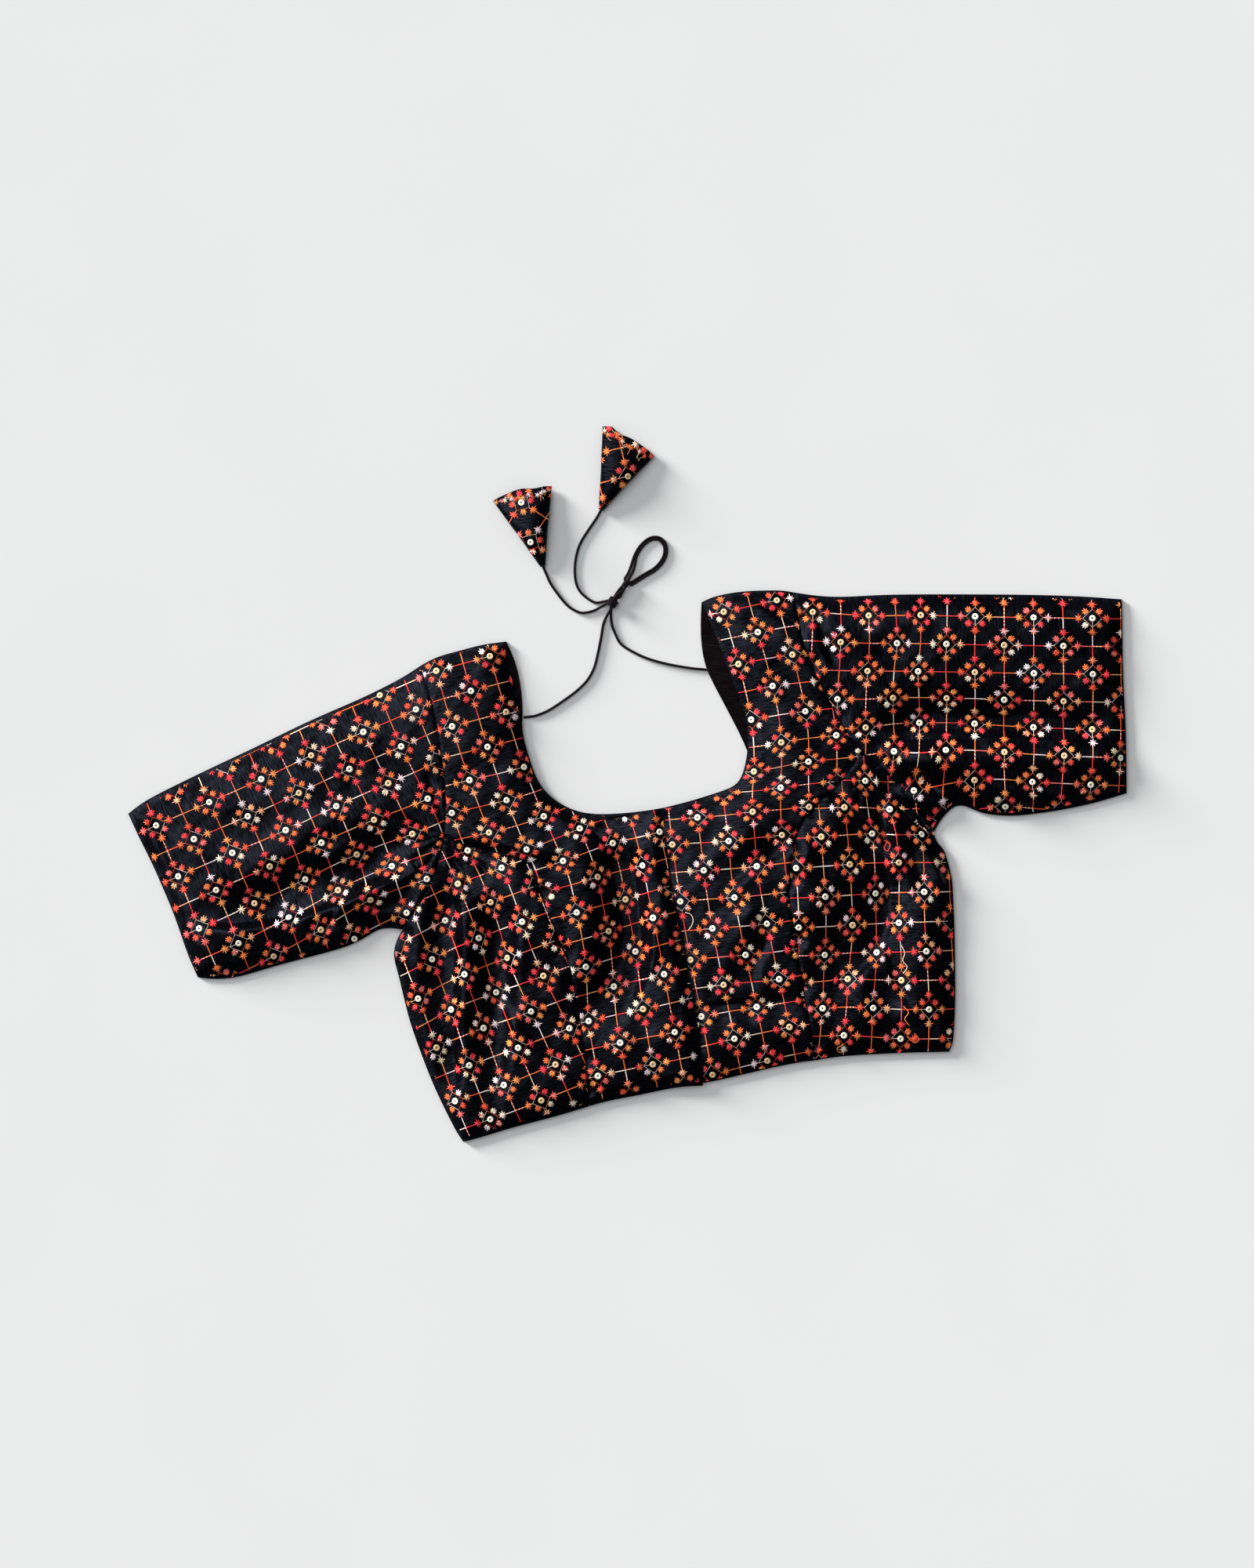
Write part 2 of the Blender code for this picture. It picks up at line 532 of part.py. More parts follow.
def make_sleeve(name, edges, curves, material):
    """A flattened tube, open at the cuff and the armhole; its lower layer is flat on the floor."""
    grid = inset_grid(patch(
        joined(curves, edges["left"]), joined(curves, edges["right"]),
        joined(curves, edges["top"]), joined(curves, edges["bottom"]),
    ), SEAM_GAP / 2)
    rows, columns = grid.shape[:2]
    raised = lift(grid.reshape(-1, 2), curves).reshape(rows, columns)
    outer_top = FRONT_BASE + CLOTH + raised
    outer_top[0] -= EDGE_ROLL
    outer_top[-1] -= EDGE_ROLL
    inside = grid.copy()
    for edge, neighbour in ((0, 1), (-1, -2)):
        inward = grid[neighbour] - grid[edge]
        inside[edge] += CLOTH * inward / np.linalg.norm(inward, axis=1)[:, None]
    inner_top = FRONT_BASE + raised
    rim = rim_indices(rows, columns)
    bm = bmesh.new()
    outer = grid_vertices(bm, grid, outer_top)
    inner = grid_vertices(bm, inside, inner_top)
    floor = {place: bm.verts.new((*grid[place], 0.0)) for place in rim}
    lining = {place: bm.verts.new((*inside[place], CLOTH)) for place in rim}
    grid_faces(bm, outer)
    grid_faces(bm, inner)
    flats = [bm.faces.new([floor[place] for place in rim]), bm.faces.new([lining[place] for place in rim])]
    last = rows - 1
    for row in (0, last):
        places = [(row, column) for column in range(columns)]
        wall_faces(bm, outer[row], [floor[place] for place in places], False)
        wall_faces(bm, inner[row], [lining[place] for place in places], False)
    for column in (0, columns - 1):
        places = [(row, column) for row in range(rows)]
        wall_faces(bm, [line[column] for line in outer], [line[column] for line in inner], False)
        wall_faces(bm, [floor[place] for place in places], [lining[place] for place in places], False)
        for row in (0, last):
            place = (row, column)
            bm.faces.new((outer[row][column], floor[place], lining[place], inner[row][column]))
    bmesh.ops.triangulate(bm, faces=flats, ngon_method="BEAUTY")
    return add_object(name, bm, material)


def make_cord(name, route, material):
    """One stretch of round cord lying on the floor."""
    samples = spline_points(route)
    length = np.sum(np.linalg.norm(np.diff(samples, axis=0), axis=1))
    places = even_steps(route, max(CORD_FEWEST_STEPS, round(length / CORD_POINT_SPACING)))
    curve = bpy.data.curves.new(name, "CURVE")
    curve.dimensions = "3D"
    curve.bevel_depth = CORD_DIAMETER / 2
    curve.bevel_resolution = CORD_BEVEL_RESOLUTION
    curve.use_fill_caps = True
    spline = curve.splines.new("POLY")
    spline.points.add(len(places) - 1)
    for point, (x, y) in zip(spline.points, places):
        point.co = (x, y, CORD_DIAMETER / 2 + CORD_CLEAR, 1.0)
    curve.materials.append(material)
    thing = bpy.data.objects.new(name, curve)
    bpy.context.collection.objects.link(thing)
    return thing


def make_knot(material):
    """The knot and the wound bundle above it, as one turned body along its axis."""
    start, end = np.array(KNOT_START), np.array(KNOT_END)
    along = (end - start) / np.linalg.norm(end - start)
    side = np.array([-along[1], along[0]])
    bm = bmesh.new()
    rings = []
    for section in KNOT_SECTIONS:
        centre = start + along * section.along
        half_height = section.radius * KNOT_FLATNESS
        ring = []
        for step in range(KNOT_SIDES):
            angle = math.tau * step / KNOT_SIDES
            place = centre + side * section.radius * math.cos(angle)
            ring.append(bm.verts.new((place[0], place[1], half_height * (1 + math.sin(angle)))))
        rings.append(ring)
    for first, second in zip(rings[:-1], rings[1:]):
        wall_faces(bm, first, second, True)
    bm.faces.new(rings[0])
    bm.faces.new(rings[-1])
    return add_object("knot", bm, material)


def latkan_ring(latkan, share, inward):
    """One section across a latkan: x, y, z points round a flattened oval that rests on the floor."""
    apex = np.array(latkan.apex)
    edge_a = apex + (np.array(latkan.corner_a) - apex) * share
    edge_b = apex + (np.array(latkan.corner_b) - apex) * share
    centre = (edge_a + edge_b) / 2
    across = np.array(latkan.corner_b) - np.array(latkan.corner_a)
    across /= np.linalg.norm(across)
    ahead = (np.array(latkan.corner_a) + np.array(latkan.corner_b)) / 2 - apex
    ahead /= np.linalg.norm(ahead)
    half_width = np.linalg.norm(edge_b - edge_a) / 2 + LATKAN_NECK * (1 - share) - inward
    height = LATKAN_APEX_HEIGHT * (1 - share) + LATKAN_MOUTH_HEIGHT * share
    height += LATKAN_BELLY_RISE * math.sin(math.pi * share)
    tucked = max(0.0, (share - LATKAN_TUCKS_FROM) / (1 - LATKAN_TUCKS_FROM))
    bumps = latkan.mouth_bumps
    ring = []
    for step in range(LATKAN_SIDES):
        angle = math.tau * step / LATKAN_SIDES
        sideways = -math.cos(angle)
        place = centre + across * half_width * sideways
        bump = np.interp((sideways + 1) / 2, np.linspace(0, 1, len(bumps)), bumps)
        place = place + ahead * bump * tucked
        z = height / 2 + (height / 2 - inward) * math.sin(angle)
        ring.append((place[0], place[1], z))
    return ring


def make_latkan(name, latkan, material):
    """A hollow cone of cloth, closed round the cord at its apex and open at its mouth."""
    apex = np.array(latkan.apex)
    length = np.linalg.norm((np.array(latkan.corner_a) + np.array(latkan.corner_b)) / 2 - apex)
    first_inside = LATKAN_CLOSED_END / length
    bm = bmesh.new()
    outer = [
        [bm.verts.new(point) for point in latkan_ring(latkan, share, 0.0)]
        for share in np.linspace(0.0, 1.0, LATKAN_SECTIONS + 1)
    ]
    inner = [
        [bm.verts.new(point) for point in latkan_ring(latkan, share, LATKAN_WALL)]
        for share in np.linspace(first_inside, 1.0, LATKAN_SECTIONS + 1)
    ]
    for rings in (outer, inner):
        for first, second in zip(rings[:-1], rings[1:]):
            wall_faces(bm, first, second, True)
    bm.faces.new(outer[0])
    bm.faces.new(inner[0])
    wall_faces(bm, outer[-1], inner[-1], True)
    return add_object(name, bm, material)


def main():
    clear_scene()
    curves = seam_curves()
    silk = cloth_material("embroidered_silk", BLACK_SILK, 0.55)
    lining = cloth_material("back_silk", BLACK_SILK, 0.65)
    cord = cloth_material("cord", BLACK_CORD, 0.6)
    make_back(curves, lining)
    for name, edges in FRONT_PANELS.items():
        make_front_panel(name, edges, curves, silk)
    make_sleeve("sleeve_right", {
        "left": ["cuff_right"],
        "right": ["armhole_right_upper", "armhole_right_lower"],
        "top": ["sleeve_top_right"],
        "bottom": ["underarm_right"],
    }, curves, silk)
    make_sleeve("sleeve_left", {
        "left": ["armhole_left_upper", "armhole_left_lower"],
        "right": ["cuff_left"],
        "top": ["sleeve_top_left"],
        "bottom": ["underarm_left"],
    }, curves, silk)
    for name, route in CORD_ROUTES.items():
        make_cord(name, route, cord)
    make_knot(cord)
    for name, latkan in LATKANS.items():
        make_latkan(name, latkan, silk)


main()
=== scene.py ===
import math
import random
import bmesh
import bpy
import numpy as np
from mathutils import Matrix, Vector
from mathutils.bvhtree import BVHTree
from mathutils.kdtree import KDTree


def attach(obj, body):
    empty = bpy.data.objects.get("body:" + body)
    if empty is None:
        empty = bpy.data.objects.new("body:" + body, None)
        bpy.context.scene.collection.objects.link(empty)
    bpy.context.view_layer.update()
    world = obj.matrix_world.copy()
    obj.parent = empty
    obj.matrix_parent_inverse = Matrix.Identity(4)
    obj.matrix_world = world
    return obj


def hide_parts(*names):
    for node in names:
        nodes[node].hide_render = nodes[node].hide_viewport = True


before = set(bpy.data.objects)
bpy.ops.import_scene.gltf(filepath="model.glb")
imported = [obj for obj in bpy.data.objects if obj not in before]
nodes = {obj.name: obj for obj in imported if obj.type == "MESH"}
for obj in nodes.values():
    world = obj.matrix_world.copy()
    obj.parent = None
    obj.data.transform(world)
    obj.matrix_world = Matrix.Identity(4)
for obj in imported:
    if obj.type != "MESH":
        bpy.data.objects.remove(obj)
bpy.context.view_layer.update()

scene = bpy.context.scene
mm = 0.001
rng = random.Random(7)
print("frame loaded", len(nodes), "nodes")


# A new object at the origin
def link(name, data):
    made = bpy.data.objects.new(name, data)
    scene.collection.objects.link(made)
    return made


view = {"lens": 85.0, "sensor": 36.0, "tall": 1.24, "middle": (-0.0003, 0.0654), "cloth": 0.004}
cameraData = bpy.data.cameras.new("camera")
cameraData.lens = view["lens"]
cameraData.sensor_width = view["sensor"]
camera = link("camera", cameraData)
distance = view["tall"] * view["lens"] / view["sensor"]
camera.location = (*view["middle"], distance + view["cloth"])
scene.camera = camera

floorSize = {"half": 3.0, "below": 0.0001}
floorMesh = bmesh.new()
bmesh.ops.create_grid(floorMesh, x_segments=1, y_segments=1, size=floorSize["half"])
bmesh.ops.translate(floorMesh, verts=floorMesh.verts, vec=(0, 0, -floorSize["below"]))
floorData = bpy.data.meshes.new("floor")
floorMesh.to_mesh(floorData)
floorMesh.free()
floor = link("floor", floorData)

lights = {  # suns: elevation and compass way in degrees, width in degrees, strength, colour
    "key": (12.0, 146.0, 18.0, 8.8, (1.0, 0.99, 0.98)),
    "softbox": (55.0, 147.0, 58.0, 0.92, (0.98, 0.99, 1.0)),
}
lampsAway = 3  # m
for name, (elevation, compass, wide, power, colour) in lights.items():
    lamp = bpy.data.lights.new(name, "SUN")
    lamp.angle = math.radians(wide)
    lamp.energy = power
    lamp.color = colour
    holder = link(name, lamp)
    rise, turn = math.radians(elevation), math.radians(compass)
    toLamp = Vector((math.cos(turn) * math.cos(rise), math.sin(turn) * math.cos(rise), math.sin(rise)))
    holder.location = toLamp * lampsAway
    holder.visible_glossy = name != "key"  # only the wide softbox shows in the silk's gloss
    holder.rotation_euler = toLamp.to_track_quat("Z", "Y").to_euler()
studio = {"colour": (0.93, 0.94, 0.95, 1), "strength": 0.375}
world = bpy.data.worlds.new("studio")
scene.world = world
world.use_nodes = True
background = world.node_tree.nodes["Background"]
background.inputs["Color"].default_value = studio["colour"]
background.inputs["Strength"].default_value = studio["strength"]
world.cycles_visibility.glossy = False
scene.view_settings.view_transform = "Standard"
print("stage set")


# The shader of a material
def shaderOf(made):
    return made.node_tree.nodes["Principled BSDF"]


# A material with uniform values on the shader's own sockets
def newMaterial(name, colour, roughness, **sockets):
    made = bpy.data.materials.new(name)
    made.use_nodes = True
    shader = shaderOf(made)
    shader.inputs["Base Color"].default_value = (*colour, 1)
    shader.inputs["Roughness"].default_value = roughness
    for key, value in sockets.items():
        shader.inputs[key.replace("_", " ")].default_value = value
    return made


# A shader node with its settings and input values
def nodeOf(made, kind, **values):
    node = made.node_tree.nodes.new(kind)
    for key, value in values.items():
        if hasattr(node, key):
            setattr(node, key, value)
        else:
            node.inputs[key.replace("_", " ")].default_value = value
    return node


# Links (node, socket) to (node, socket) in pairs
def wire(made, *steps):
    for a, b in zip(steps[::2], steps[1::2]):
        made.node_tree.links.new(a[0].outputs[a[1]], b[0].inputs[b[1]])


# Lets the base colour drift between two colours, and gives back the noise and the ramp
def driftingColour(made, scale, detail, dark, light):
    space = nodeOf(made, "ShaderNodeTexCoord")
    noise = nodeOf(made, "ShaderNodeTexNoise", Scale=scale, Detail=detail)
    ramp = nodeOf(made, "ShaderNodeValToRGB")
    for stop, colour in zip(ramp.color_ramp.elements, (dark, light)):
        stop.color = (*colour, 1)
    wire(made, (space, "Object"), (noise, "Vector"), (noise, "Fac"), (ramp, "Fac"),
         (ramp, "Color"), (shaderOf(made), "Base Color"))
    return noise, ramp


silkMix = {  # how the clouds, the slub streaks and the weave add up, and what they steer
    "cloudScale": 26.0, "cloud": 0.24, "streak": 0.54, "weave": 0.26, "colourAt": (0.44, 0.60),
    "shineAt": (0.43, 0.60), "bumpDeep": 0.0004,
}


# Raw silk: fine weave, thin slub streaks along u and soft clouds of sheen
def silkMaterial(name, dark, light, slub):
    made = newMaterial(name, dark, slub["rough"])
    shader = shaderOf(made)
    shader.inputs["Specular Tint"].default_value = (*slub["gloss"], 1)
    space = nodeOf(made, "ShaderNodeTexCoord")
    streakSpace = nodeOf(made, "ShaderNodeMapping")
    streakSpace.inputs["Scale"].default_value = slub["streak"]
    streak = nodeOf(made, "ShaderNodeTexNoise", Scale=1.0, Detail=3.0, Roughness=0.6)
    weaveSpace = nodeOf(made, "ShaderNodeMapping")
    weaveSpace.inputs["Scale"].default_value = slub["weave"]
    weave = nodeOf(made, "ShaderNodeTexNoise", Scale=1.0, Detail=1.0, Roughness=0.5)
    cloud = nodeOf(made, "ShaderNodeTexNoise", Scale=silkMix["cloudScale"], Detail=3.0, Roughness=0.55)
    ramp = nodeOf(made, "ShaderNodeValToRGB")
    for stop, at, colour in zip(ramp.color_ramp.elements, silkMix["colourAt"], (dark, light)):
        stop.position = at
        stop.color = (*colour, 1)
    shine = nodeOf(made, "ShaderNodeMapRange", From_Min=silkMix["shineAt"][0], From_Max=silkMix["shineAt"][1],
                   To_Min=slub["shine"][0], To_Max=slub["shine"][1])
    clouded = nodeOf(made, "ShaderNodeMath", operation="MULTIPLY")
    clouded.inputs[1].default_value = silkMix["cloud"]
    streaked = nodeOf(made, "ShaderNodeMath", operation="MULTIPLY_ADD")
    streaked.inputs[1].default_value = silkMix["streak"]
    woven = nodeOf(made, "ShaderNodeMath", operation="MULTIPLY_ADD")
    woven.inputs[1].default_value = silkMix["weave"]
    bump = nodeOf(made, "ShaderNodeBump", Strength=slub["bump"], Distance=silkMix["bumpDeep"])
    wire(made, (space, "UV"), (streakSpace, "Vector"), (streakSpace, "Vector"), (streak, "Vector"),
         (space, "UV"), (weaveSpace, "Vector"), (weaveSpace, "Vector"), (weave, "Vector"),
         (space, "Object"), (cloud, "Vector"),
         (cloud, "Fac"), (clouded, 0), (clouded, 0), (streaked, 2), (streak, "Fac"), (streaked, 0),
         (streaked, 0), (woven, 2), (weave, "Fac"), (woven, 0),
         (woven, 0), (ramp, "Fac"), (ramp, "Color"), (shader, "Base Color"),
         (woven, 0), (shine, "Value"), (shine, "Result"), (shader, "Specular IOR Level"),
         (woven, 0), (bump, "Height"), (bump, "Normal"), (shader, "Normal"))
    return made


slubs = {"streak": (130.0, 820.0, 1.0), "weave": (2600.0, 3400.0, 1.0), "bump": 0.36, "rough": 0.34,
         "shine": (0.07, 0.66), "gloss": (0.64, 0.72, 1.0)}
silk = silkMaterial("embroidered silk", (0.0003, 0.0003, 0.0006), (0.0014, 0.0015, 0.0030), slubs)
backSlubs = {"streak": (60.0, 700.0, 1.0), "weave": (2600.0, 3000.0, 1.0), "bump": 0.3, "rough": 0.6,
             "shine": (0.04, 0.14), "gloss": (1.0, 0.9, 0.92)}
lining = silkMaterial("plain inner face", (0.0026, 0.0014, 0.0020), (0.0060, 0.0035, 0.0044), backSlubs)

floorLook = newMaterial("pale floor", (0.8, 0.805, 0.81), 0.9, Specular_IOR_Level=0.1)
driftingColour(floorLook, 6.0, 2.0, (0.700, 0.702, 0.704), (0.726, 0.728, 0.730))
floorData.materials.append(floorLook)

cordLook = newMaterial("rolled cord", (0.006, 0.003, 0.004), 0.55, Specular_IOR_Level=0.22, Sheen_Weight=0.03)
cordNoise = driftingColour(cordLook, 900.0, 3.0, (0.003, 0.0015, 0.0025), (0.011, 0.006, 0.008))[0]
cordBump = nodeOf(cordLook, "ShaderNodeBump", Strength=0.5, Distance=0.0003)
wire(cordLook, (cordNoise, "Fac"), (cordBump, "Height"), (cordBump, "Normal"), (shaderOf(cordLook), "Normal"))

threadLook = newMaterial("sewing thread", (0.8, 0.3, 0.1), 0.45, Specular_IOR_Level=0.4, Sheen_Weight=0.2)
threadColour = nodeOf(threadLook, "ShaderNodeAttribute", attribute_name="thread")
threadSpace = nodeOf(threadLook, "ShaderNodeTexCoord")
threadNoise = nodeOf(threadLook, "ShaderNodeTexNoise", Scale=2600.0, Detail=2.0)
threadBump = nodeOf(threadLook, "ShaderNodeBump", Strength=0.5, Distance=0.0002)
wire(threadLook, (threadColour, "Color"), (shaderOf(threadLook), "Base Color"),
     (threadSpace, "Object"), (threadNoise, "Vector"), (threadNoise, "Fac"), (threadBump, "Height"),
     (threadBump, "Normal"), (shaderOf(threadLook), "Normal"))

sequinLook = newMaterial("ring sequin", (0.80, 0.74, 0.60), 0.35, Specular_IOR_Level=0.5)
sequinRamp = driftingColour(sequinLook, 420.0, 2.0, (0.80, 0.75, 0.64), (0.98, 0.95, 0.88))[1]
sequinTone = nodeOf(sequinLook, "ShaderNodeAttribute", attribute_name="thread")
sequinMix = nodeOf(sequinLook, "ShaderNodeVectorMath", operation="MULTIPLY")
wire(sequinLook, (sequinRamp, "Color"), (sequinMix, 0), (sequinTone, "Color"), (sequinMix, 1),
     (sequinMix, "Vector"), (shaderOf(sequinLook), "Base Color"))
print("materials made")


# A smooth line through the points, with points about step apart
def splinePoints(points, step):
    p = np.array(points, float)
    p = np.vstack([2 * p[0] - p[1], p, 2 * p[-1] - p[-2]])
    line = []
    for k in range(1, len(p) - 2):
        a, b, c, d = p[k - 1:k + 3]
        for t in np.linspace(0, 1, 12, endpoint=False):
            line.append(0.5 * (2 * b + (c - a) * t + (2 * a - 5 * b + 4 * c - d) * t * t
                               + (3 * b - a - 3 * c + d) * t ** 3))
    line.append(p[-2])
    line = np.array(line)
    along = np.concatenate([[0], np.cumsum(np.linalg.norm(np.diff(line, axis=0), axis=1))])
    at = np.linspace(0, along[-1], max(2, int(along[-1] / step)))
    return np.stack([np.interp(at, along, line[:, k]) for k in range(line.shape[1])], axis=1)


# A round cord along the points, as a curve of one open spline
def tube(name, points, radius, sides=3):
    data = bpy.data.curves.new(name, "CURVE")
    data.dimensions = "3D"
    data.bevel_depth = radius
    data.bevel_resolution = sides
    data.use_fill_caps = True
    line = data.splines.new("POLY")
    line.points.add(len(points) - 1)
    for point, place in zip(line.points, points):
        point.co = (*place, 1)
    return link(name, data)


cordSizes = {"radius": 0.00105, "low": 0.0011, "knotHeight": 0.00285, "strandOut": 0.00168, "turn": 200.0,
             "step": 0.0011, "mouthHeight": 0.0022}
strandStations = (0.16, 0.3, 0.44, 0.58, 0.72, 0.86, 0.97)  # shares of the wound bundle's length
knotAxis = (np.array((-0.0152, 0.2040)), np.array((0.0003, 0.2258)))
cordRoutes = {  # from the back neck to the knot, round the bow's loop, and from the knot to the latkan
    "right": {
        "neck": [
            (-0.0822, 0.1181), (-0.0729, 0.1194), (-0.0623, 0.1237), (-0.0499, 0.1318), (-0.0400, 0.1392),
            (-0.0319, 0.1473), (-0.0264, 0.1572), (-0.0233, 0.1690), (-0.0208, 0.1814), (-0.0184, 0.1938),
        ],
        "loop": [
            (-0.0020, 0.2280), (0.0008, 0.2326), (0.0031, 0.2387), (0.0053, 0.2455), (0.0081, 0.2511),
            (0.0121, 0.2561), (0.0171, 0.2598), (0.0220, 0.2610), (0.0267, 0.2598), (0.0301, 0.2561),
            (0.0313, 0.2508), (0.0304, 0.2452), (0.0273, 0.2396), (0.0220, 0.2344), (0.0152, 0.2303),
            (0.0079, 0.2258), (0.0031, 0.2229),
        ],
        "tail": [
            (-0.0252, 0.2032), (-0.0347, 0.2009), (-0.0404, 0.2022), (-0.0467, 0.2060), (-0.0530, 0.2130),
            (-0.0605, 0.2235), (-0.0642, 0.2316), (-0.0665, 0.2369),
        ],
        "inside": (-0.0701, 0.2490), "up": 0.0, "down": 180.0, "leave": 0.18},
    "left": {
        "neck": [
            (0.0645, 0.1557), (0.0613, 0.1560), (0.0493, 0.1572), (0.0319, 0.1603), (0.0164, 0.1646),
            (0.0040, 0.1702), (-0.0053, 0.1764), (-0.0102, 0.1857), (-0.0127, 0.1938),
        ],
        "loop": [
            (0.0008, 0.2273), (0.0044, 0.2338), (0.0061, 0.2400), (0.0070, 0.2445), (0.0094, 0.2495),
            (0.0128, 0.2541), (0.0173, 0.2577), (0.0220, 0.2591), (0.0260, 0.2579), (0.0287, 0.2543),
            (0.0294, 0.2505), (0.0286, 0.2459), (0.0257, 0.2408), (0.0209, 0.2360), (0.0145, 0.2322),
            (0.0081, 0.2282), (0.0030, 0.2251),
        ],
        "tail": [
            (-0.0218, 0.2092), (-0.0264, 0.2094), (-0.0321, 0.2126), (-0.0372, 0.2174), (-0.0404, 0.2237),
            (-0.0416, 0.2319), (-0.0413, 0.2408), (-0.0394, 0.2503), (-0.0366, 0.2572), (-0.0315, 0.2655),
            (-0.0246, 0.2756), (-0.0212, 0.2816),
        ],
        "inside": (-0.0150, 0.2922), "up": 90.0, "down": 270.0, "leave": 0.30},
}
axisWay = (knotAxis[1] - knotAxis[0]) / np.linalg.norm(knotAxis[1] - knotAxis[0])
axisSide = np.array((-axisWay[1], axisWay[0]))


# Points of one of the four strands of the wound bundle, at those shares of its length
def strand(phase, stations):
    points = []
    for s in stations:
        angle = math.radians(phase + cordSizes["turn"] * (s - 1))
        plan = knotAxis[0] * (1 - s) + knotAxis[1] * s + axisSide * cordSizes["strandOut"] * math.cos(angle)
        points.append((*plan, cordSizes["knotHeight"] + cordSizes["strandOut"] * math.sin(angle)))
    return points


cords = {}
for side, route in cordRoutes.items():
    low = cordSizes["low"]
    up = strand(route["up"], strandStations)
    down = strand(route["down"], [s for s in strandStations[::-1] if s > route["leave"]])
    points = ([(*p, low) for p in route["neck"]] + up + [(*p, low) for p in route["loop"]] + down
              + [(*p, low) for p in route["tail"]] + [(*route["inside"], cordSizes["mouthHeight"])])
    line = splinePoints(points, cordSizes["step"])
    line[:, 2] = np.maximum(line[:, 2], low)
    cords[side] = tube(f"cord_{side}", line, cordSizes["radius"])
    cords[side]["long"] = float(np.linalg.norm(np.diff(line, axis=0), axis=1).sum())
    cords[side].data.materials.append(cordLook)
    print("cord", side, round(cords[side]["long"], 4), "m")
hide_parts("neck_cord_right", "loop_outer", "tail_right")
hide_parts("neck_cord_left", "loop_inner", "tail_left")

wrap = {"turns": 3.1, "pitch": 0.0019, "out": 0.0034, "flat": 0.74, "start": 0.003, "height": 0.0037,
        "parts": 60}
wrapPoints = []
for k in range(wrap["parts"] + 1):
    turns = wrap["turns"] * k / wrap["parts"]
    angle = 2 * math.pi * turns
    along = knotAxis[0] + axisWay * (wrap["start"] + wrap["pitch"] * turns)
    plan = along + axisSide * wrap["out"] * math.cos(angle)
    wrapPoints.append((*plan, wrap["height"] + wrap["flat"] * wrap["out"] * math.sin(angle)))
knot = tube("knot_wrap", wrapPoints, cordSizes["radius"])
knot.data.materials.append(cordLook)
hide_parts("knot")

mainPanels = ["front_centre_left", "front_side_left", "front_centre_right", "front_side_right",
              "sleeve_left", "sleeve_right"]
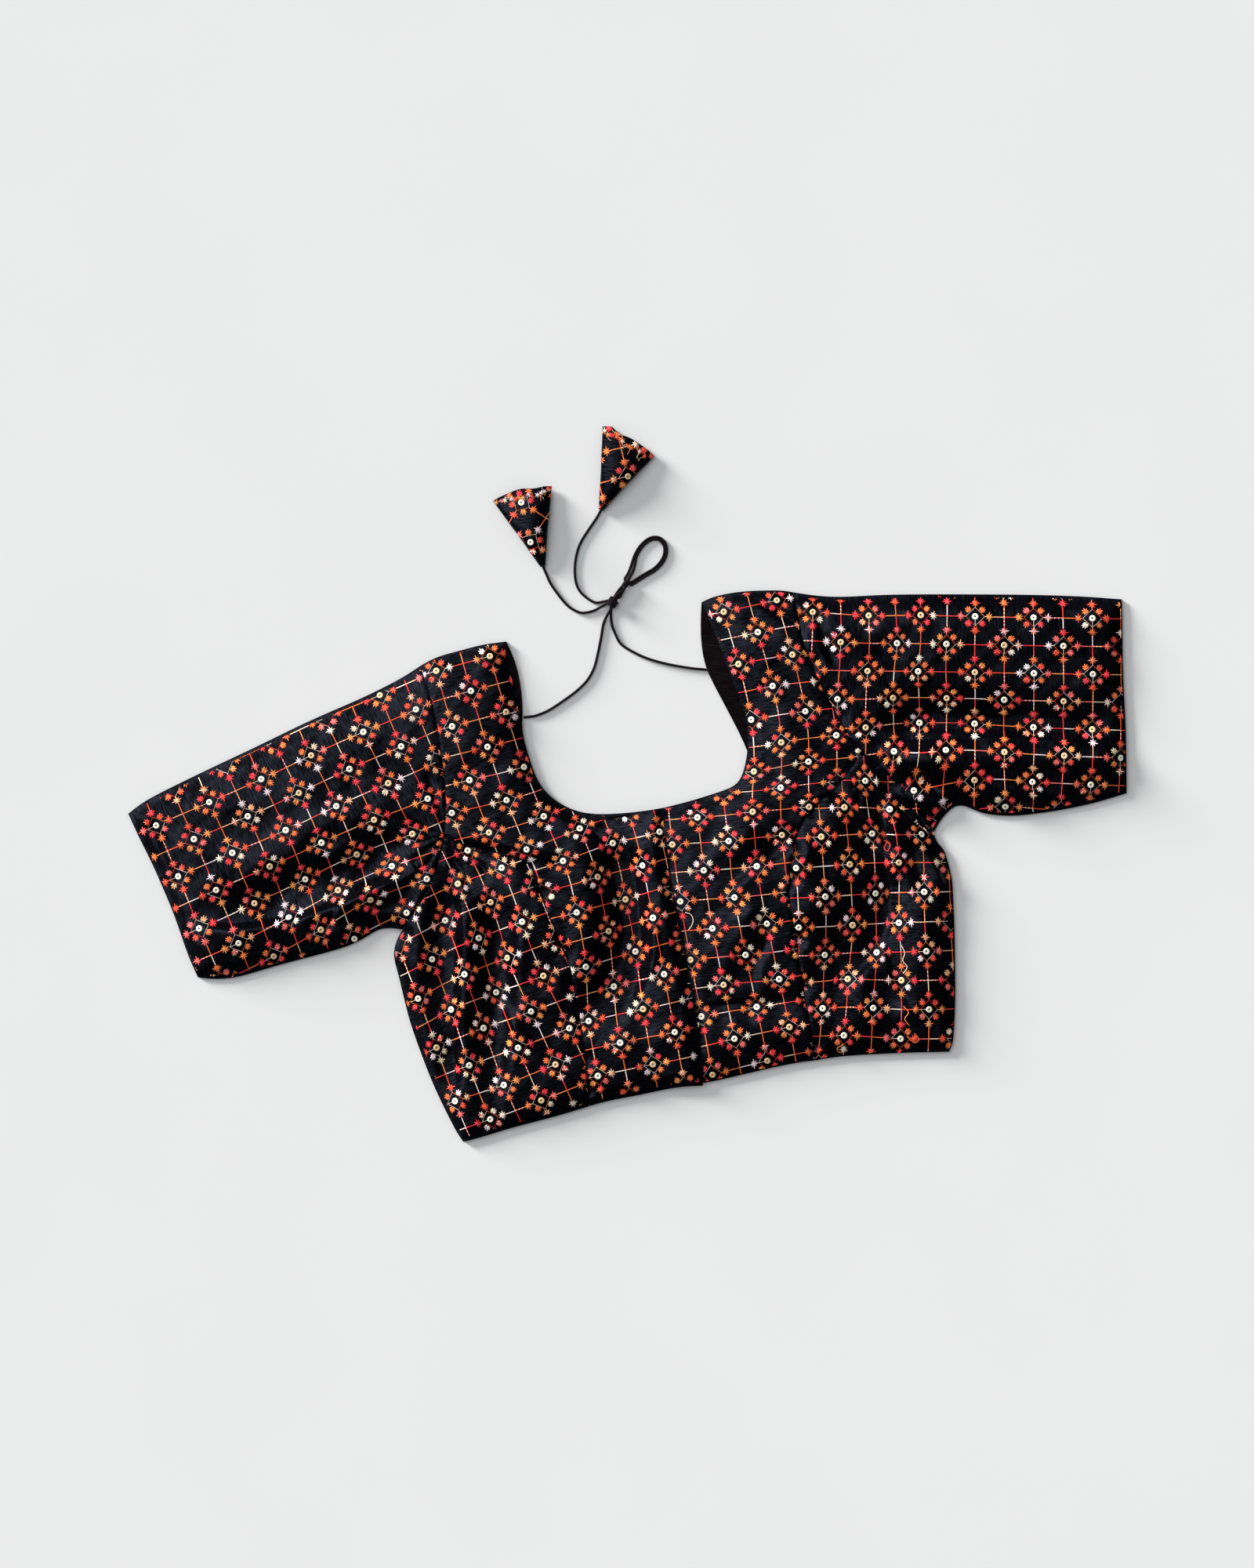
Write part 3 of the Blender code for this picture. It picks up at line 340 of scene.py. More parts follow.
# Each crease runs left to right or hem to neck: points, reach on its upper or left side, reach on the
# other side, and height, which is below zero for a trough, all in mm.
creases = [
    ([(196, 108), (225, 114), (260, 113), (300, 112), (350, 109), (392, 106)], 32, 11, -4.5),
    ([(203, 99), (240, 101), (276, 104)], 5, 6, -1.2),
    ([(196, 87), (214, 80), (232, 69), (252, 52)], 6, 6, -1.9),
    ([(198, 80), (216, 70), (236, 56)], 5, 5, 1.3),
    ([(193, 79), (212, 53), (231, 30), (244, 21)], 6, 5, -1.9),
    ([(190, 80), (203, 62), (214, 40), (222, 24)], 4, 5, 1.2),
    ([(224, 1), (208, 17), (199, 43), (187, 69)], 6, 5, -1.5),
    ([(198, 88), (240, 82), (275, 73), (300, 60), (332, 48)], 14, 20, 2.4),
    ([(166, 156), (158, 175), (150, 203)], 6, 6, -1.6),
    ([(163, 124), (155, 141)], 4, 4, -1.0),
    ([(98, 212), (120, 200), (142, 189)], 5, 5, -1.0),
    ([(158, -106), (183, -80), (203, -50), (207, -20), (203, 10), (205, 45), (196, 70)], 38, 9, -4.6),
    ([(217, 16), (210, 34), (204, 50)], 4, 5, 1.6),
    ([(212, -16), (209, 4)], 4, 5, 1.2),
    ([(227, -116), (214, -88), (205, -60)], 6, 6, -1.5),
    ([(241, -24), (228, 0), (222, 28), (215, 46)], 10, 8, -2.2),
    ([(253, -18), (244, -4), (235, 11)], 4, 5, 1.4),
    ([(135, -54), (149, -26), (136, 0), (142, 30)], 22, 20, 2.0),
    ([(72, -18), (98, 2), (118, 12), (139, 29)], 22, 9, -2.8),
    ([(101, -104), (99, -80), (109, -58), (106, -32)], 22, 8, -2.4),
    ([(58, -33), (80, -36), (98, -29)], 14, 6, -1.2),
    ([(62, -162), (58, -120), (51, -90), (46, -60), (39, -24)], 6, 6, -1.2),
    ([(58, -112), (88, -108), (128, -106)], 3.5, 3.5, -1.3),
    ([(-16, -128), (2, -100), (10, -70), (8, -40), (5, -15), (0, 12), (-9, 30)], 34, 12, -5.0),
    ([(13, -90), (20, -66), (18, -40)], 10, 8, 1.4),
    ([(-43, 35), (-28, 28), (-17, 19)], 5, 4, -1.2),
    ([(-148, 21), (-120, 15), (-95, 8), (-72, 0), (-42, -3)], 12, 8, -2.0),
    ([(-143, -206), (-138, -160), (-139, -120), (-138, -80), (-138, -40), (-141, -12), (-148, 8)],
     24, 10, -4.8),
    ([(-111, -204), (-104, -165), (-104, -135), (-97, -105), (-98, -75), (-96, -45), (-104, -15), (-117, 6)],
     26, 14, -4.5),
    ([(-70, -145), (-86, -130), (-98, -106)], 6, 6, 1.8),
    ([(-169, -114), (-165, -70), (-162, -26)], 8, 8, 1.0),
    ([(-123, -20), (-130, -6), (-144, 16)], 3.5, 3.5, -1.2),
    ([(-107, -12), (-118, 4), (-134, 19)], 3.5, 3.5, -1.2),
    ([(-112, -10), (-129, 10)], 3, 3, 0.8),
    ([(-157, -10), (-171, 7)], 3, 3, -0.9),
    ([(-356, -36), (-320, -43), (-280, -39), (-250, -31), (-222, -21), (-205, -12), (-185, -3), (-158, 9)],
     30, 9, -4.6),
    ([(-238, -64), (-222, -28), (-205, -16), (-184, -6)], 6, 22, 2.2),
    ([(-184, 44), (-165, 31), (-149, 20)], 4, 4, -1.1),
    ([(-145, 28), (-150, 52), (-160, 78)], 4, 4, -1.0),
    ([(-348, -28), (-361, 6), (-378, 40)], 6, 8, -1.4),
    ([(-264, 17), (-225, 24), (-195, 18), (-163, 16)], 16, 14, -1.5),
]
waves = [  # length, height and way of the light unevenness of the cloth, in mm and radians
    (31, 0.20, 0.4), (47, 0.30, 1.9), (19, 0.11, 2.7), (24, 0.14, 1.1), (12.5, 0.07, 0.9), (9.5, 0.045, 2.2),
]
gathers = [  # small folds that fan out below an armhole: middle in mm, way in degrees, count, height in mm
    ((187, 74), -48, 17, 0.50),
    ((-143, 26), -128, 15, 0.45),
]
gatherShape = {"reach": 17.0, "narrow": 0.7, "bend": 1.4, "bends": 3, "swirl": 0.8}  # the reach in mm
creaseShape = {"step": 0.004, "strength": 1.2, "firstReach": 1.2, "ends": 0.25, "least": 0.1}
waveBends = {"x": 41, "y": 37, "much": 1.6}


# Height in metres that the creases and a light unevenness add at plan points
def creaseHeights(plan):
    total = np.zeros(len(plan))
    for points, leftReach, rightReach, height in creases:
        line = splinePoints(np.array(points, float) * mm, creaseShape["step"])
        best = np.full(len(plan), np.inf)
        where = np.zeros(len(plan))
        for k, (a, b) in enumerate(zip(line[:-1], line[1:])):
            way = b - a
            t = np.clip(((plan - a) @ way) / (way @ way), 0, 1)
            away = plan - a - t[:, None] * way
            gap = np.linalg.norm(away, axis=1)
            left = way[0] * away[:, 1] - way[1] * away[:, 0] > 0
            gap = gap / np.where(left, leftReach * creaseShape["firstReach"] * mm, rightReach * mm)
            nearer = gap < best
            best = np.where(nearer, gap, best)
            where = np.where(nearer, (k + t) / (len(line) - 1), where)
        taper = np.clip(np.minimum(where, 1 - where) / creaseShape["ends"], 0, 1)
        taper = creaseShape["least"] + (1 - creaseShape["least"]) * taper * taper * (3 - 2 * taper)
        section = (1 + np.cos(math.pi * np.clip(best, 0, 1))) / 2
        total += creaseShape["strength"] * height * mm * taper * section
    for middle, way, count, height in gathers:
        away = plan - np.array(middle) * mm
        far = np.linalg.norm(away, axis=1) / (gatherShape["reach"] * mm)
        turn = np.arctan2(away[:, 1], away[:, 0]) - math.radians(way)
        fan = np.clip(np.cos(turn), 0, 1) ** gatherShape["narrow"] * far * np.exp(1 - far)
        ripple = count * turn + gatherShape["bend"] * np.sin(gatherShape["bends"] * turn)
        total += height * mm * fan * np.cos(ripple + gatherShape["swirl"] * far)
    for wave, size, way in waves:
        phase = (plan[:, 0] * math.cos(way) + plan[:, 1] * math.sin(way)) / (wave * mm) * 2 * math.pi
        bend = np.sin(plan[:, 0] * waveBends["x"] + way * 7) + np.cos(plan[:, 1] * waveBends["y"] - way * 5)
        total += size * mm * np.sin(phase + waveBends["much"] * bend)
    return total


# The CAD node's form as a bmesh, its doubled points merged
def mergedCopy(name):
    made = bmesh.new()
    made.from_mesh(nodes[name].data)
    bmesh.ops.remove_doubles(made, verts=made.verts, dist=1e-6)
    return made


shellAngles = {"face": math.radians(35), "shape": math.radians(60), "rim": math.radians(50)}


# A value of every vertex, such as its place, as rows of three
def vertexRows(data, what):
    values = np.zeros(len(data.vertices) * 3, np.float32)
    data.vertices.foreach_get(what, values)
    return values.reshape(-1, 3).astype(float)


# A tree of the mesh for casts on its surface
def castTree(data):
    places = [v.co.copy() for v in data.vertices]
    return BVHTree.FromPolygons(places, [tuple(f.vertices) for f in data.polygons])


# Lets the light run smoothly over the faces
def shadeSmooth(data):
    data.polygons.foreach_set("use_smooth", np.ones(len(data.polygons), bool))


fineLevels = 2


# A finer shell on the node's form, with its rim kept
def smoothShell(name, levels=fineLevels):
    made = mergedCopy(name)
    newName = name + "_cloth"
    bmesh.ops.join_triangles(made, faces=made.faces, cmp_seam=False, cmp_sharp=False, cmp_uvs=False,
                             cmp_vcols=False, cmp_materials=False, angle_face_threshold=shellAngles["face"],
                             angle_shape_threshold=shellAngles["shape"])
    sharp = made.edges.layers.float.new("crease_edge")
    for edge in made.edges:
        if len(edge.link_faces) == 2 and edge.calc_face_angle(0) > shellAngles["rim"]:
            edge[sharp] = 1.0
    data = bpy.data.meshes.new(newName)
    made.to_mesh(data)
    made.free()
    rough = link(newName, data)
    fine = rough.modifiers.new("fine", "SUBSURF")
    fine.levels = levels
    fine.render_levels = levels
    fine.boundary_smooth = "ALL"
    graph = bpy.context.evaluated_depsgraph_get()
    smooth = bpy.data.meshes.new_from_object(rough.evaluated_get(graph))
    rough.modifiers.clear()
    rough.data = smooth
    smooth.name = newName
    bpy.data.meshes.remove(data)
    return rough


rimSizes = {"step": 0.002, "above": 0.0008, "seamWithin": 0.0015, "facing": 0.3}  # m; facing is a normal


# Plan points along the edge of a panel's outer face
def rimPoints(name):
    made = mergedCopy(name)
    points = []
    for edge in made.edges:
        if len(edge.link_faces) != 2 or edge.calc_face_angle(0) < shellAngles["rim"]:
            continue
        a, b = (v.co for v in edge.verts)
        upward = max(f.normal.z for f in edge.link_faces)
        if upward > rimSizes["facing"] and min(a.z, b.z) > rimSizes["above"]:
            count = max(1, int((b - a).length / rimSizes["step"]))
            points += [tuple(a.lerp(b, k / count))[:2] for k in range(count)]
    made.free()
    return np.array(points)


# A search tree of plan points
def treeOf(points):
    tree = KDTree(max(1, len(points)))
    for k, point in enumerate(points):
        tree.insert((*point, 0), k)
    tree.balance()
    return tree


rims = {name: rimPoints(name) for name in mainPanels}
seamNear = {}
freeNear = {}
for name in mainPanels:
    others = treeOf(np.vstack([rims[other] for other in mainPanels if other != name]))
    gaps = np.array([others.find((*p, 0))[2] for p in rims[name]])
    seamNear[name] = treeOf(rims[name][gaps < rimSizes["seamWithin"]])
    freeNear[name] = treeOf(rims[name][gaps >= rimSizes["seamWithin"]])
print("rims found")

lattices = {  # sewn crossings: column, row, x mm, y mm
    "sleeve_left": [
        (-6, 2, 146.6, 201.2), (-4, 2, 190.6, 198.1), (-2, 2, 231.6, 198.7), (4, 2, 367.4, 196.2),
        (-3, 1, 213.6, 176.4), (-2, 0, 229.1, 154.1), (-5, -1, 165.8, 132.4), (-1, -1, 252.6, 133.0),
        (1, -1, 297.9, 131.8), (-4, -2, 188.2, 109.4), (-3, -3, 211.1, 92.1), (-1, -3, 251.4, 92.7),
        (3, -3, 345.0, 87.7), (-2, -4, 225.7, 58.9), (2, -4, 319.6, 66.6), (4, -4, 366.1, 64.8),
        (1, -5, 299.2, 48.0),
    ],
    "front_centre_left": [
        (2, 12, 76.3, 201.2), (4, 12, 118.1, 210.5), (3, 9, 114.7, 142.9), (2, 8, 98.3, 116.2),
        (5, 7, 165.2, 103.5), (2, 6, 100.4, 74.7), (4, 6, 142.9, 83.1), (1, 5, 75.6, 58.3),
        (2, 4, 98.9, 43.7), (4, 4, 143.5, 47.4), (-1, 3, 35.6, 17.7), (1, 3, 80.3, 20.2), (2, 2, 102.0, 0.3),
        (2, -2, 120.0, -89.0), (0, -4, 84.6, -135.5), (2, -4, 128.0, -126.2), (-1, -5, 67.3, -164.6),
        (1, -5, 110.7, -153.4),
    ],
    "front_side_left": [
        (-1, 5, 188.2, 67.9), (0, 4, 206.8, 45.0), (-1, 3, 193.8, 26.4), (1, 3, 232.8, 25.7),
        (-4, 2, 133.0, -0.9), (-2, 0, 178.2, -46.2), (0, 0, 214.2, -44.3), (-3, -1, 155.9, -69.8),
        (-1, -1, 197.5, -67.9), (-2, -2, 173.9, -88.4), (-3, -3, 154.7, -111.9), (1, -3, 238.4, -112.5),
        (-2, -4, 170.8, -133.0), (0, -4, 216.1, -136.1),
    ],
    "front_centre_right": [
        (-2, 14, -123.4, 138.9), (-3, 13, -138.3, 110.7), (-3, 11, -124.6, 68.5), (-1, 11, -81.8, 78.7),
        (-2, 8, -79.4, 13.3), (1, 7, -11.5, 18.9), (-2, 6, -66.6, -19.5), (0, 6, -23.2, -7.8),
        (2, 6, 12.1, 0.9), (-1, 5, -40.0, -36.3), (1, 5, -1.6, -26.4), (0, 4, -14.6, -50.5),
        (2, 4, 20.2, -40.0), (-1, 3, -32.6, -79.0), (-1, 1, -30.7, -121.8), (2, 0, 37.5, -130.5),
        (-1, -1, -23.2, -165.2), (1, -1, 20.2, -155.9),
    ],
    "front_side_right": [
        (2, 6, -126.2, 12.7), (1, 5, -133.6, -13.3), (0, 4, -144.2, -42.5), (1, 3, -116.9, -56.1),
        (-2, 2, -165.2, -104.5), (2, 2, -95.2, -72.2), (4, 2, -54.9, -57.4), (-1, 1, -139.2, -112.5),
        (3, -1, -45.6, -127.4), (-2, -2, -136.1, -185.1), (0, -2, -97.6, -172.7), (1, -3, -67.9, -184.4),
    ],
    "sleeve_right": [
        (-2, 6, -242.1, -49.9), (0, 6, -203.0, -25.7), (-5, 5, -306.6, -60.4), (-6, 4, -338.2, -48.7),
        (-4, 4, -294.8, -28.8), (2, 4, -169.6, 25.7), (3, 3, -157.2, 53.6), (-2, 2, -269.4, 28.8),
        (2, 2, -188.8, 66.0), (4, 2, -149.7, 83.4), (-6, 0, -372.3, 32.6), (1, -1, -239.6, 117.5),
        (3, -1, -195.6, 135.5),
    ],
}
pitch = 22.2  # mm between crossings
plateEase = 0.4  # how far the map may miss a crossing to stay smooth


# A smooth map that takes the known points to the values
def thinPlate(known, values):
    n = len(known)
    gap = np.linalg.norm(known[:, None] - known[None], axis=2)
    bend = np.where(gap > 0, gap * gap * np.log(gap + 1e-12), 0) + plateEase * np.eye(n)
    flat = np.hstack([np.ones((n, 1)), known])
    whole = np.block([[bend, flat], [flat.T, np.zeros((3, 3))]])
    weights = np.linalg.solve(whole, np.vstack([values, np.zeros((3, values.shape[1]))]))

    def at(points):
        away = np.linalg.norm(points[:, None] - known[None], axis=2)
        return (np.where(away > 0, away * away * np.log(away + 1e-12), 0) @ weights[:n]
                + np.hstack([np.ones((len(points), 1)), points]) @ weights[n:])
    return at


toPlan = {}
toPattern = {}
for name, rows in lattices.items():
    table = np.array(rows, float)
    toPlan[name] = thinPlate(table[:, :2], table[:, 2:] * mm)
    toPattern[name] = thinPlate(table[:, 2:] / pitch, table[:, :2])


# The UV map in pattern metres, u along the slub streaks
def setUv(data, name):
    plan = vertexRows(data, "co")[:, :2]
    if name in toPattern:
        parts = np.array_split(plan / mm / pitch, 20)
        pattern = np.vstack([toPattern[name](part) for part in parts]) * pitch * mm
        if name.startswith("sleeve"):
            pattern = pattern[:, ::-1]
    else:
        pattern = plan
    corners = np.zeros(len(data.loops), np.int32)
    data.loops.foreach_get("vertex_index", corners)
    layer = data.uv_layers.new(name="pattern")
    layer.data.foreach_set("uv", pattern[corners].astype(np.float32).ravel())


clothShape = {  # m: how it rises from its free edges, sinks and puckers at a seam, and stays over its floor
    "edgeReach": 0.012, "lift": 0.0030, "seamSink": 0.0009, "seamHalf": 0.0015, "pucker": 0.00022,
    "puckerReach": 0.006, "upperFloor": 0.00255, "lowerFloor": 0.0015, "sleeveMiddle": 0.0016,
    "fineAbove": 0.002, "sharp": math.radians(42), "under": -0.2,
}
puckerWays = ((830, 310), (-260, 760))  # radians per metre along x and y
cloth = {}
surface = {}


# Maps and dresses a piece, and keeps it with a tree for casts on it
def keepCloth(name, piece, look):
    setUv(piece.data, name)
    piece.data.materials.append(look)
    cloth[name] = piece
    surface[name] = castTree(piece.data)


for name in mainPanels:
    piece = smoothShell(name)
    shell = bmesh.new()
    shell.from_mesh(piece.data)
    upperFaces = [f for f in shell.faces if f.normal.z > rimSizes["facing"]
                  and f.calc_center_median().z > clothShape["fineAbove"]]
    outer = dict.fromkeys(e for f in upperFaces for e in f.edges)
    bmesh.ops.subdivide_edges(shell, edges=list(outer), cuts=1, use_grid_fill=True)
    for edge in shell.edges:
        edge.smooth = edge.calc_face_angle(0) < clothShape["sharp"]
    shell.to_mesh(piece.data)
    shell.free()
    data = piece.data
    place = vertexRows(data, "co")
    normal = vertexRows(data, "normal")
    plan = place[:, :2]
    free = np.array([freeNear[name].find((*p, 0))[2] for p in plan])
    seam = np.array([seamNear[name].find((*p, 0))[2] for p in plan])
    ease = np.clip(free / clothShape["edgeReach"], 0, 1)
    ease = ease * ease * (3 - 2 * ease)
    lift = (creaseHeights(plan) + clothShape["lift"]) * ease
    pucker = np.prod([np.sin(plan @ np.array(way)) for way in puckerWays], axis=0)
    lift += (-clothShape["seamSink"] * np.exp(-(seam / clothShape["seamHalf"]) ** 2)
             + clothShape["pucker"] * pucker * np.exp(-seam / clothShape["puckerReach"]) * ease)
    upper = place[:, 2] > (clothShape["sleeveMiddle"] if name.startswith("sleeve") else 0.0)
    lowest = np.where(normal[:, 2] > clothShape["under"], clothShape["upperFloor"], clothShape["lowerFloor"])
    moved = np.maximum(place[:, 2] + lift, np.minimum(lowest, place[:, 2]))
    place[:, 2] = np.where(upper, moved, place[:, 2])
    data.vertices.foreach_set("co", place.astype(np.float32).ravel())
    data.update()
    shadeSmooth(data)
    keepCloth(name, piece, silk)
    print("cloth", name, len(data.polygons), "faces")

keepCloth("back", smoothShell("back", 1), lining)

latkans = {
    "latkan_right": {"start": (-83.7, 287.6), "across": (19.3, -12.0), "along": (-12.0, -19.3)},
    "latkan_left": {"start": (0.4, 308.3), "across": (22.6, 5.4), "along": (-5.4, 22.6)},
}
for name in latkans:
    piece = smoothShell(name)
    shadeSmooth(piece.data)
    keepCloth(name, piece, silk)
print("cloth made")

palette = {  # linear colours with their weights
    "orange": ((0.98, 0.168, 0.026), 28), "flame": ((0.98, 0.066, 0.018), 18),
    "crimson": ((0.98, 0.021, 0.034), 20), "pink": ((0.95, 0.13, 0.12), 7), "peach": ((0.98, 0.41, 0.21), 7),
    "amber": ((0.98, 0.28, 0.056), 11), "cream": ((0.98, 0.76, 0.60), 5), "lilac": ((0.95, 0.74, 0.77), 9),
    "beige": ((0.88, 0.68, 0.46), 4),
}
paleNames = ["cream", "lilac", "beige", "cream"]
warmNames = [name for name, (colour, weight) in palette.items() for k in range(weight)]


# A thread colour with a little variation of its own
def pickColour(names):
    colour = palette[rng.choice(names)][0]
    shade = rng.uniform(0.90, 1.14)
    return tuple(min(1.0, c * shade) for c in colour)


stitchGrid = bmesh.new()
bmesh.ops.create_grid(stitchGrid, x_segments=4, y_segments=2, size=1)
gridAt = np.array([tuple(v.co)[:2] for v in stitchGrid.verts])
gridFaces = np.array([[v.index for v in f.verts] for f in stitchGrid.faces])
stitchGrid.free()
gridT = (gridAt[:, 0] + 1) / 2
gridS = gridAt[:, 1]
shapes = {  # share of the full width along a stitch, at 0, 1/4, 1/2, 3/4 and 1
    "thread": (0.5, 0.95, 1.0, 0.95, 0.5),
    "ray": (0.9, 1.0, 0.92, 0.66, 0.18),
    "petal": (0.45, 0.8, 1.0, 0.95, 0.4),
}
motif = {  # mm, the fan in radians, and shares of how often a thread is pale or a tail shows
    "corner": 7.3, "bud": 7.95, "budRound": 2.5, "budFoot": 1.55, "budFan": math.radians(225), "petal": 1.3,
    "petalHigh": 0.42, "star": 10.9, "starLong": 4.2, "starShort": 3.15, "ray": 1.30, "rayHigh": 0.45,
    "rayBack": 0.12, "lineFrom": 14.0, "lineTo": pitch + 0.25, "shades": (0.66, 1.24), "paleSides": 0.25,
    "paleLines": 0.22, "tails": 0.85, "tail": (0.5, 0.28), "tailParts": ((2.3, 4.9), (4.6, 7.4)),
    "glint": 0.09,  # share of cream in every third strand, where the thread catches the light
}
sideRow = {"width": 0.44, "height": 0.30, "over": 0.15, "lean": 0.12, "parts": 6, "tones": (0.51, 0.75)}
lineRow = {"width": 0.95, "height": 0.34, "over": 0.12, "lean": 0.2, "parts": 6}
glint = np.array(palette["cream"][0])


# A row of short leaning stitches from a to b in two tones, like a twisted thread
def threadRow(a, b, row, tones):
    way = (b - a) / np.linalg.norm(b - a)
    lean = row["lean"] * np.array((-way[1], way[0]))
    parts, over = row["parts"], row["over"]
    return [(a + (b - a) * (n - over) / parts - lean, a + (b - a) * (n + 1 + over) / parts + lean,
             row["width"], row["height"], "thread", tones[n % 2]) for n in range(parts)]


# The stitches round one crossing in pattern mm: start, end, width, height, shape and colour
def strokesFor(tailWay):
    strokes = []
    pale = pickColour(paleNames)
    quarters = [k * math.pi / 2 for k in range(4)]
    corner = [motif["corner"] * np.array((math.cos(turn), math.sin(turn))) for turn in quarters]
    for k in range(4):
        a, b = corner[k], corner[(k + 1) % 4]
        colour = np.array(pickColour(paleNames if rng.random() < motif["paleSides"] else warmNames))
        strokes += threadRow(a, b, sideRow, [colour * tone for tone in sideRow["tones"]])
        out = (a + b) / np.linalg.norm(a + b)
        middle = out * (motif["bud"] + rng.uniform(-0.25, 0.25))
        foot = middle - out * motif["budFoot"]
        budColour = np.array(pickColour(warmNames))
        second = np.array(pickColour(warmNames)) if rng.random() < 0.2 else budColour
        heading = math.atan2(out[1], out[0])
        count = rng.choice((8, 8, 9))
        for n in range(count):
            bend = (n / (count - 1) - 0.5) * motif["budFan"]
            turn = heading + bend
            reach = (motif["budFoot"] * math.cos(bend)
                     + math.sqrt(motif["budRound"] ** 2 - (motif["budFoot"] * math.sin(bend)) ** 2))
            tip = foot + np.array((math.cos(turn), math.sin(turn))) * (reach + rng.uniform(-0.15, 0.25))
            shade = (second if n % 3 == 1 else budColour) * rng.uniform(*motif["shades"])
            shade = shade + (glint - shade) * (motif["glint"] if n % 3 == 0 else 0)
            strokes.append((foot, tip, motif["petal"], motif["petalHigh"], "petal", shade))
        way = corner[k] / motif["corner"]
        side = np.array((-way[1], way[0]))
        middle = way * (motif["star"] + rng.uniform(-0.25, 0.25))
        starColour = np.array(pickColour(warmNames))
        second = np.array(pickColour(warmNames)) if rng.random() < 0.3 else starColour
        count = rng.choice((8, 8, 9))
        begin = rng.uniform(-0.12, 0.12)
        for n in range(count):
            bend = (n + begin + rng.uniform(-0.1, 0.1)) / count * 2 * math.pi
            long = motif["starShort"] + (motif["starLong"] - motif["starShort"]) * math.cos(2 * bend) ** 2
            long += rng.uniform(-0.3, 0.35)
            tip = middle + (way * math.cos(bend) + side * math.sin(bend)) * long
            shade = (second if n % 2 else starColour) * rng.uniform(*motif["shades"])
            shade = shade + (glint - shade) * (motif["glint"] if n % 3 == 1 else 0)
            root = middle - (tip - middle) * motif["rayBack"]
            strokes.append((root, tip, motif["ray"], motif["rayHigh"], "ray", shade))
        lineColour = np.array(pickColour(warmNames))
        other = np.array(pickColour(paleNames)) if rng.random() < motif["paleLines"] else lineColour * 0.8
        strokes += threadRow(way * motif["lineFrom"], way * motif["lineTo"], lineRow, (lineColour, other))
    if rng.random() < motif["tails"]:
        way = np.array(tailWay, float)
        strokes += [(way * near, way * far, *motif["tail"], "thread", pale)
                    for near, far in motif["tailParts"]]
    hold = (np.array((-0.15, -0.75)), np.array((0.2, 0.85)), 0.45, 0.55, "thread", (0.10, 0.03, 0.02))
    return [*strokes, hold]  # the last one holds the sequin


stitchSunk = 0.10  # mm that a stitch's sides lie in the cloth


# Every stitch as a small arched strip: points in pattern mm, heights in mm and colours
def strokeMesh(strokes):
    start = np.array([s[0] for s in strokes])
    end = np.array([s[1] for s in strokes])
    width = np.array([s[2] for s in strokes])
    height = np.array([s[3] for s in strokes])
    profile = np.array([np.interp(gridT, np.linspace(0, 1, 5), shapes[s[4]]) for s in strokes])
    colour = np.array([s[5] for s in strokes])
    way = end - start
    side = np.stack([-way[:, 1], way[:, 0]], axis=1) / np.linalg.norm(way, axis=1)[:, None]
    points = (start[:, None] + way[:, None] * gridT[None, :, None]
              + side[:, None] * (width[:, None] * profile * gridS / 2)[:, :, None])
    rise = height[:, None] * profile * (1 - gridS ** 2) - stitchSunk
    faces = gridFaces[None] + (np.arange(len(strokes)) * len(gridT))[:, None, None]
    return points.reshape(-1, 2), rise.ravel(), faces.reshape(-1, 4), np.repeat(colour, len(gridT), axis=0)


castSizes = {"from": 0.05, "facing": 0.25}  # m over the floor, and the least upward normal


# Surface points and normals below plan points, and which of them hit its outer face
def onSurface(tree, plan, blockers=()):
    count = len(plan)
    place = np.zeros((count, 3))
    normal = np.zeros((count, 3))
    good = np.zeros(count, bool)
    down = Vector((0, 0, -1))
    for k, (x, y) in enumerate(plan):
        spot, way, _, _ = tree.ray_cast(Vector((x, y, castSizes["from"])), down)
        if spot is None or way.z < castSizes["facing"]:
            continue
        if any(other.ray_cast(Vector((x, y, castSizes["from"])), down)[0] is not None for other in blockers):
            continue
        place[k] = spot
        normal[k] = way
        good[k] = True
    return place, normal, good


# A joined mesh with its thread colours as an attribute
def coloredMesh(name, place, faces, colour, look):
    used, again = np.unique(faces, return_inverse=True)
    again = again.reshape(faces.shape)
    data = bpy.data.meshes.new(name)
    data.from_pydata(place[used].tolist(), [], again.tolist())
    layer = data.attributes.new("thread", "FLOAT_COLOR", "POINT")
    full = np.hstack([colour[used], np.ones((len(used), 1))])
    layer.data.foreach_set("color", full.clip(0, 1).astype(np.float32).ravel())
    shadeSmooth(data)
    data.materials.append(look)
    return link(name, data)


ringSizes = {"hole": 0.66, "out": 2.5, "steps": 24, "clear": 3.2, "over": 0.12}  # mm
ringMesh = bmesh.new()
ringProfile = [(ringSizes["hole"], 0.30), (ringSizes["hole"] + 0.12, 0.42), (1.5, 0.47), (2.25, 0.46),
               (ringSizes["out"], 0.30), (ringSizes["out"], 0.02)]
previous = None
ringEdges = []
for r, z in ringProfile:
    point = ringMesh.verts.new((r, 0, z))
    if previous:
        ringEdges.append(ringMesh.edges.new((previous, point)))
    previous = point
bmesh.ops.spin(ringMesh, geom=ringMesh.verts[:] + ringEdges, cent=(0, 0, 0), axis=(0, 0, 1),
               angle=2 * math.pi, steps=ringSizes["steps"], use_merge=True)
bmesh.ops.recalc_face_normals(ringMesh, faces=ringMesh.faces)
ringMesh.verts.index_update()
ringAt = np.array([tuple(v.co) for v in ringMesh.verts])
ringFaces = np.array([[v.index for v in f.verts] for f in ringMesh.faces])
ringMesh.free()

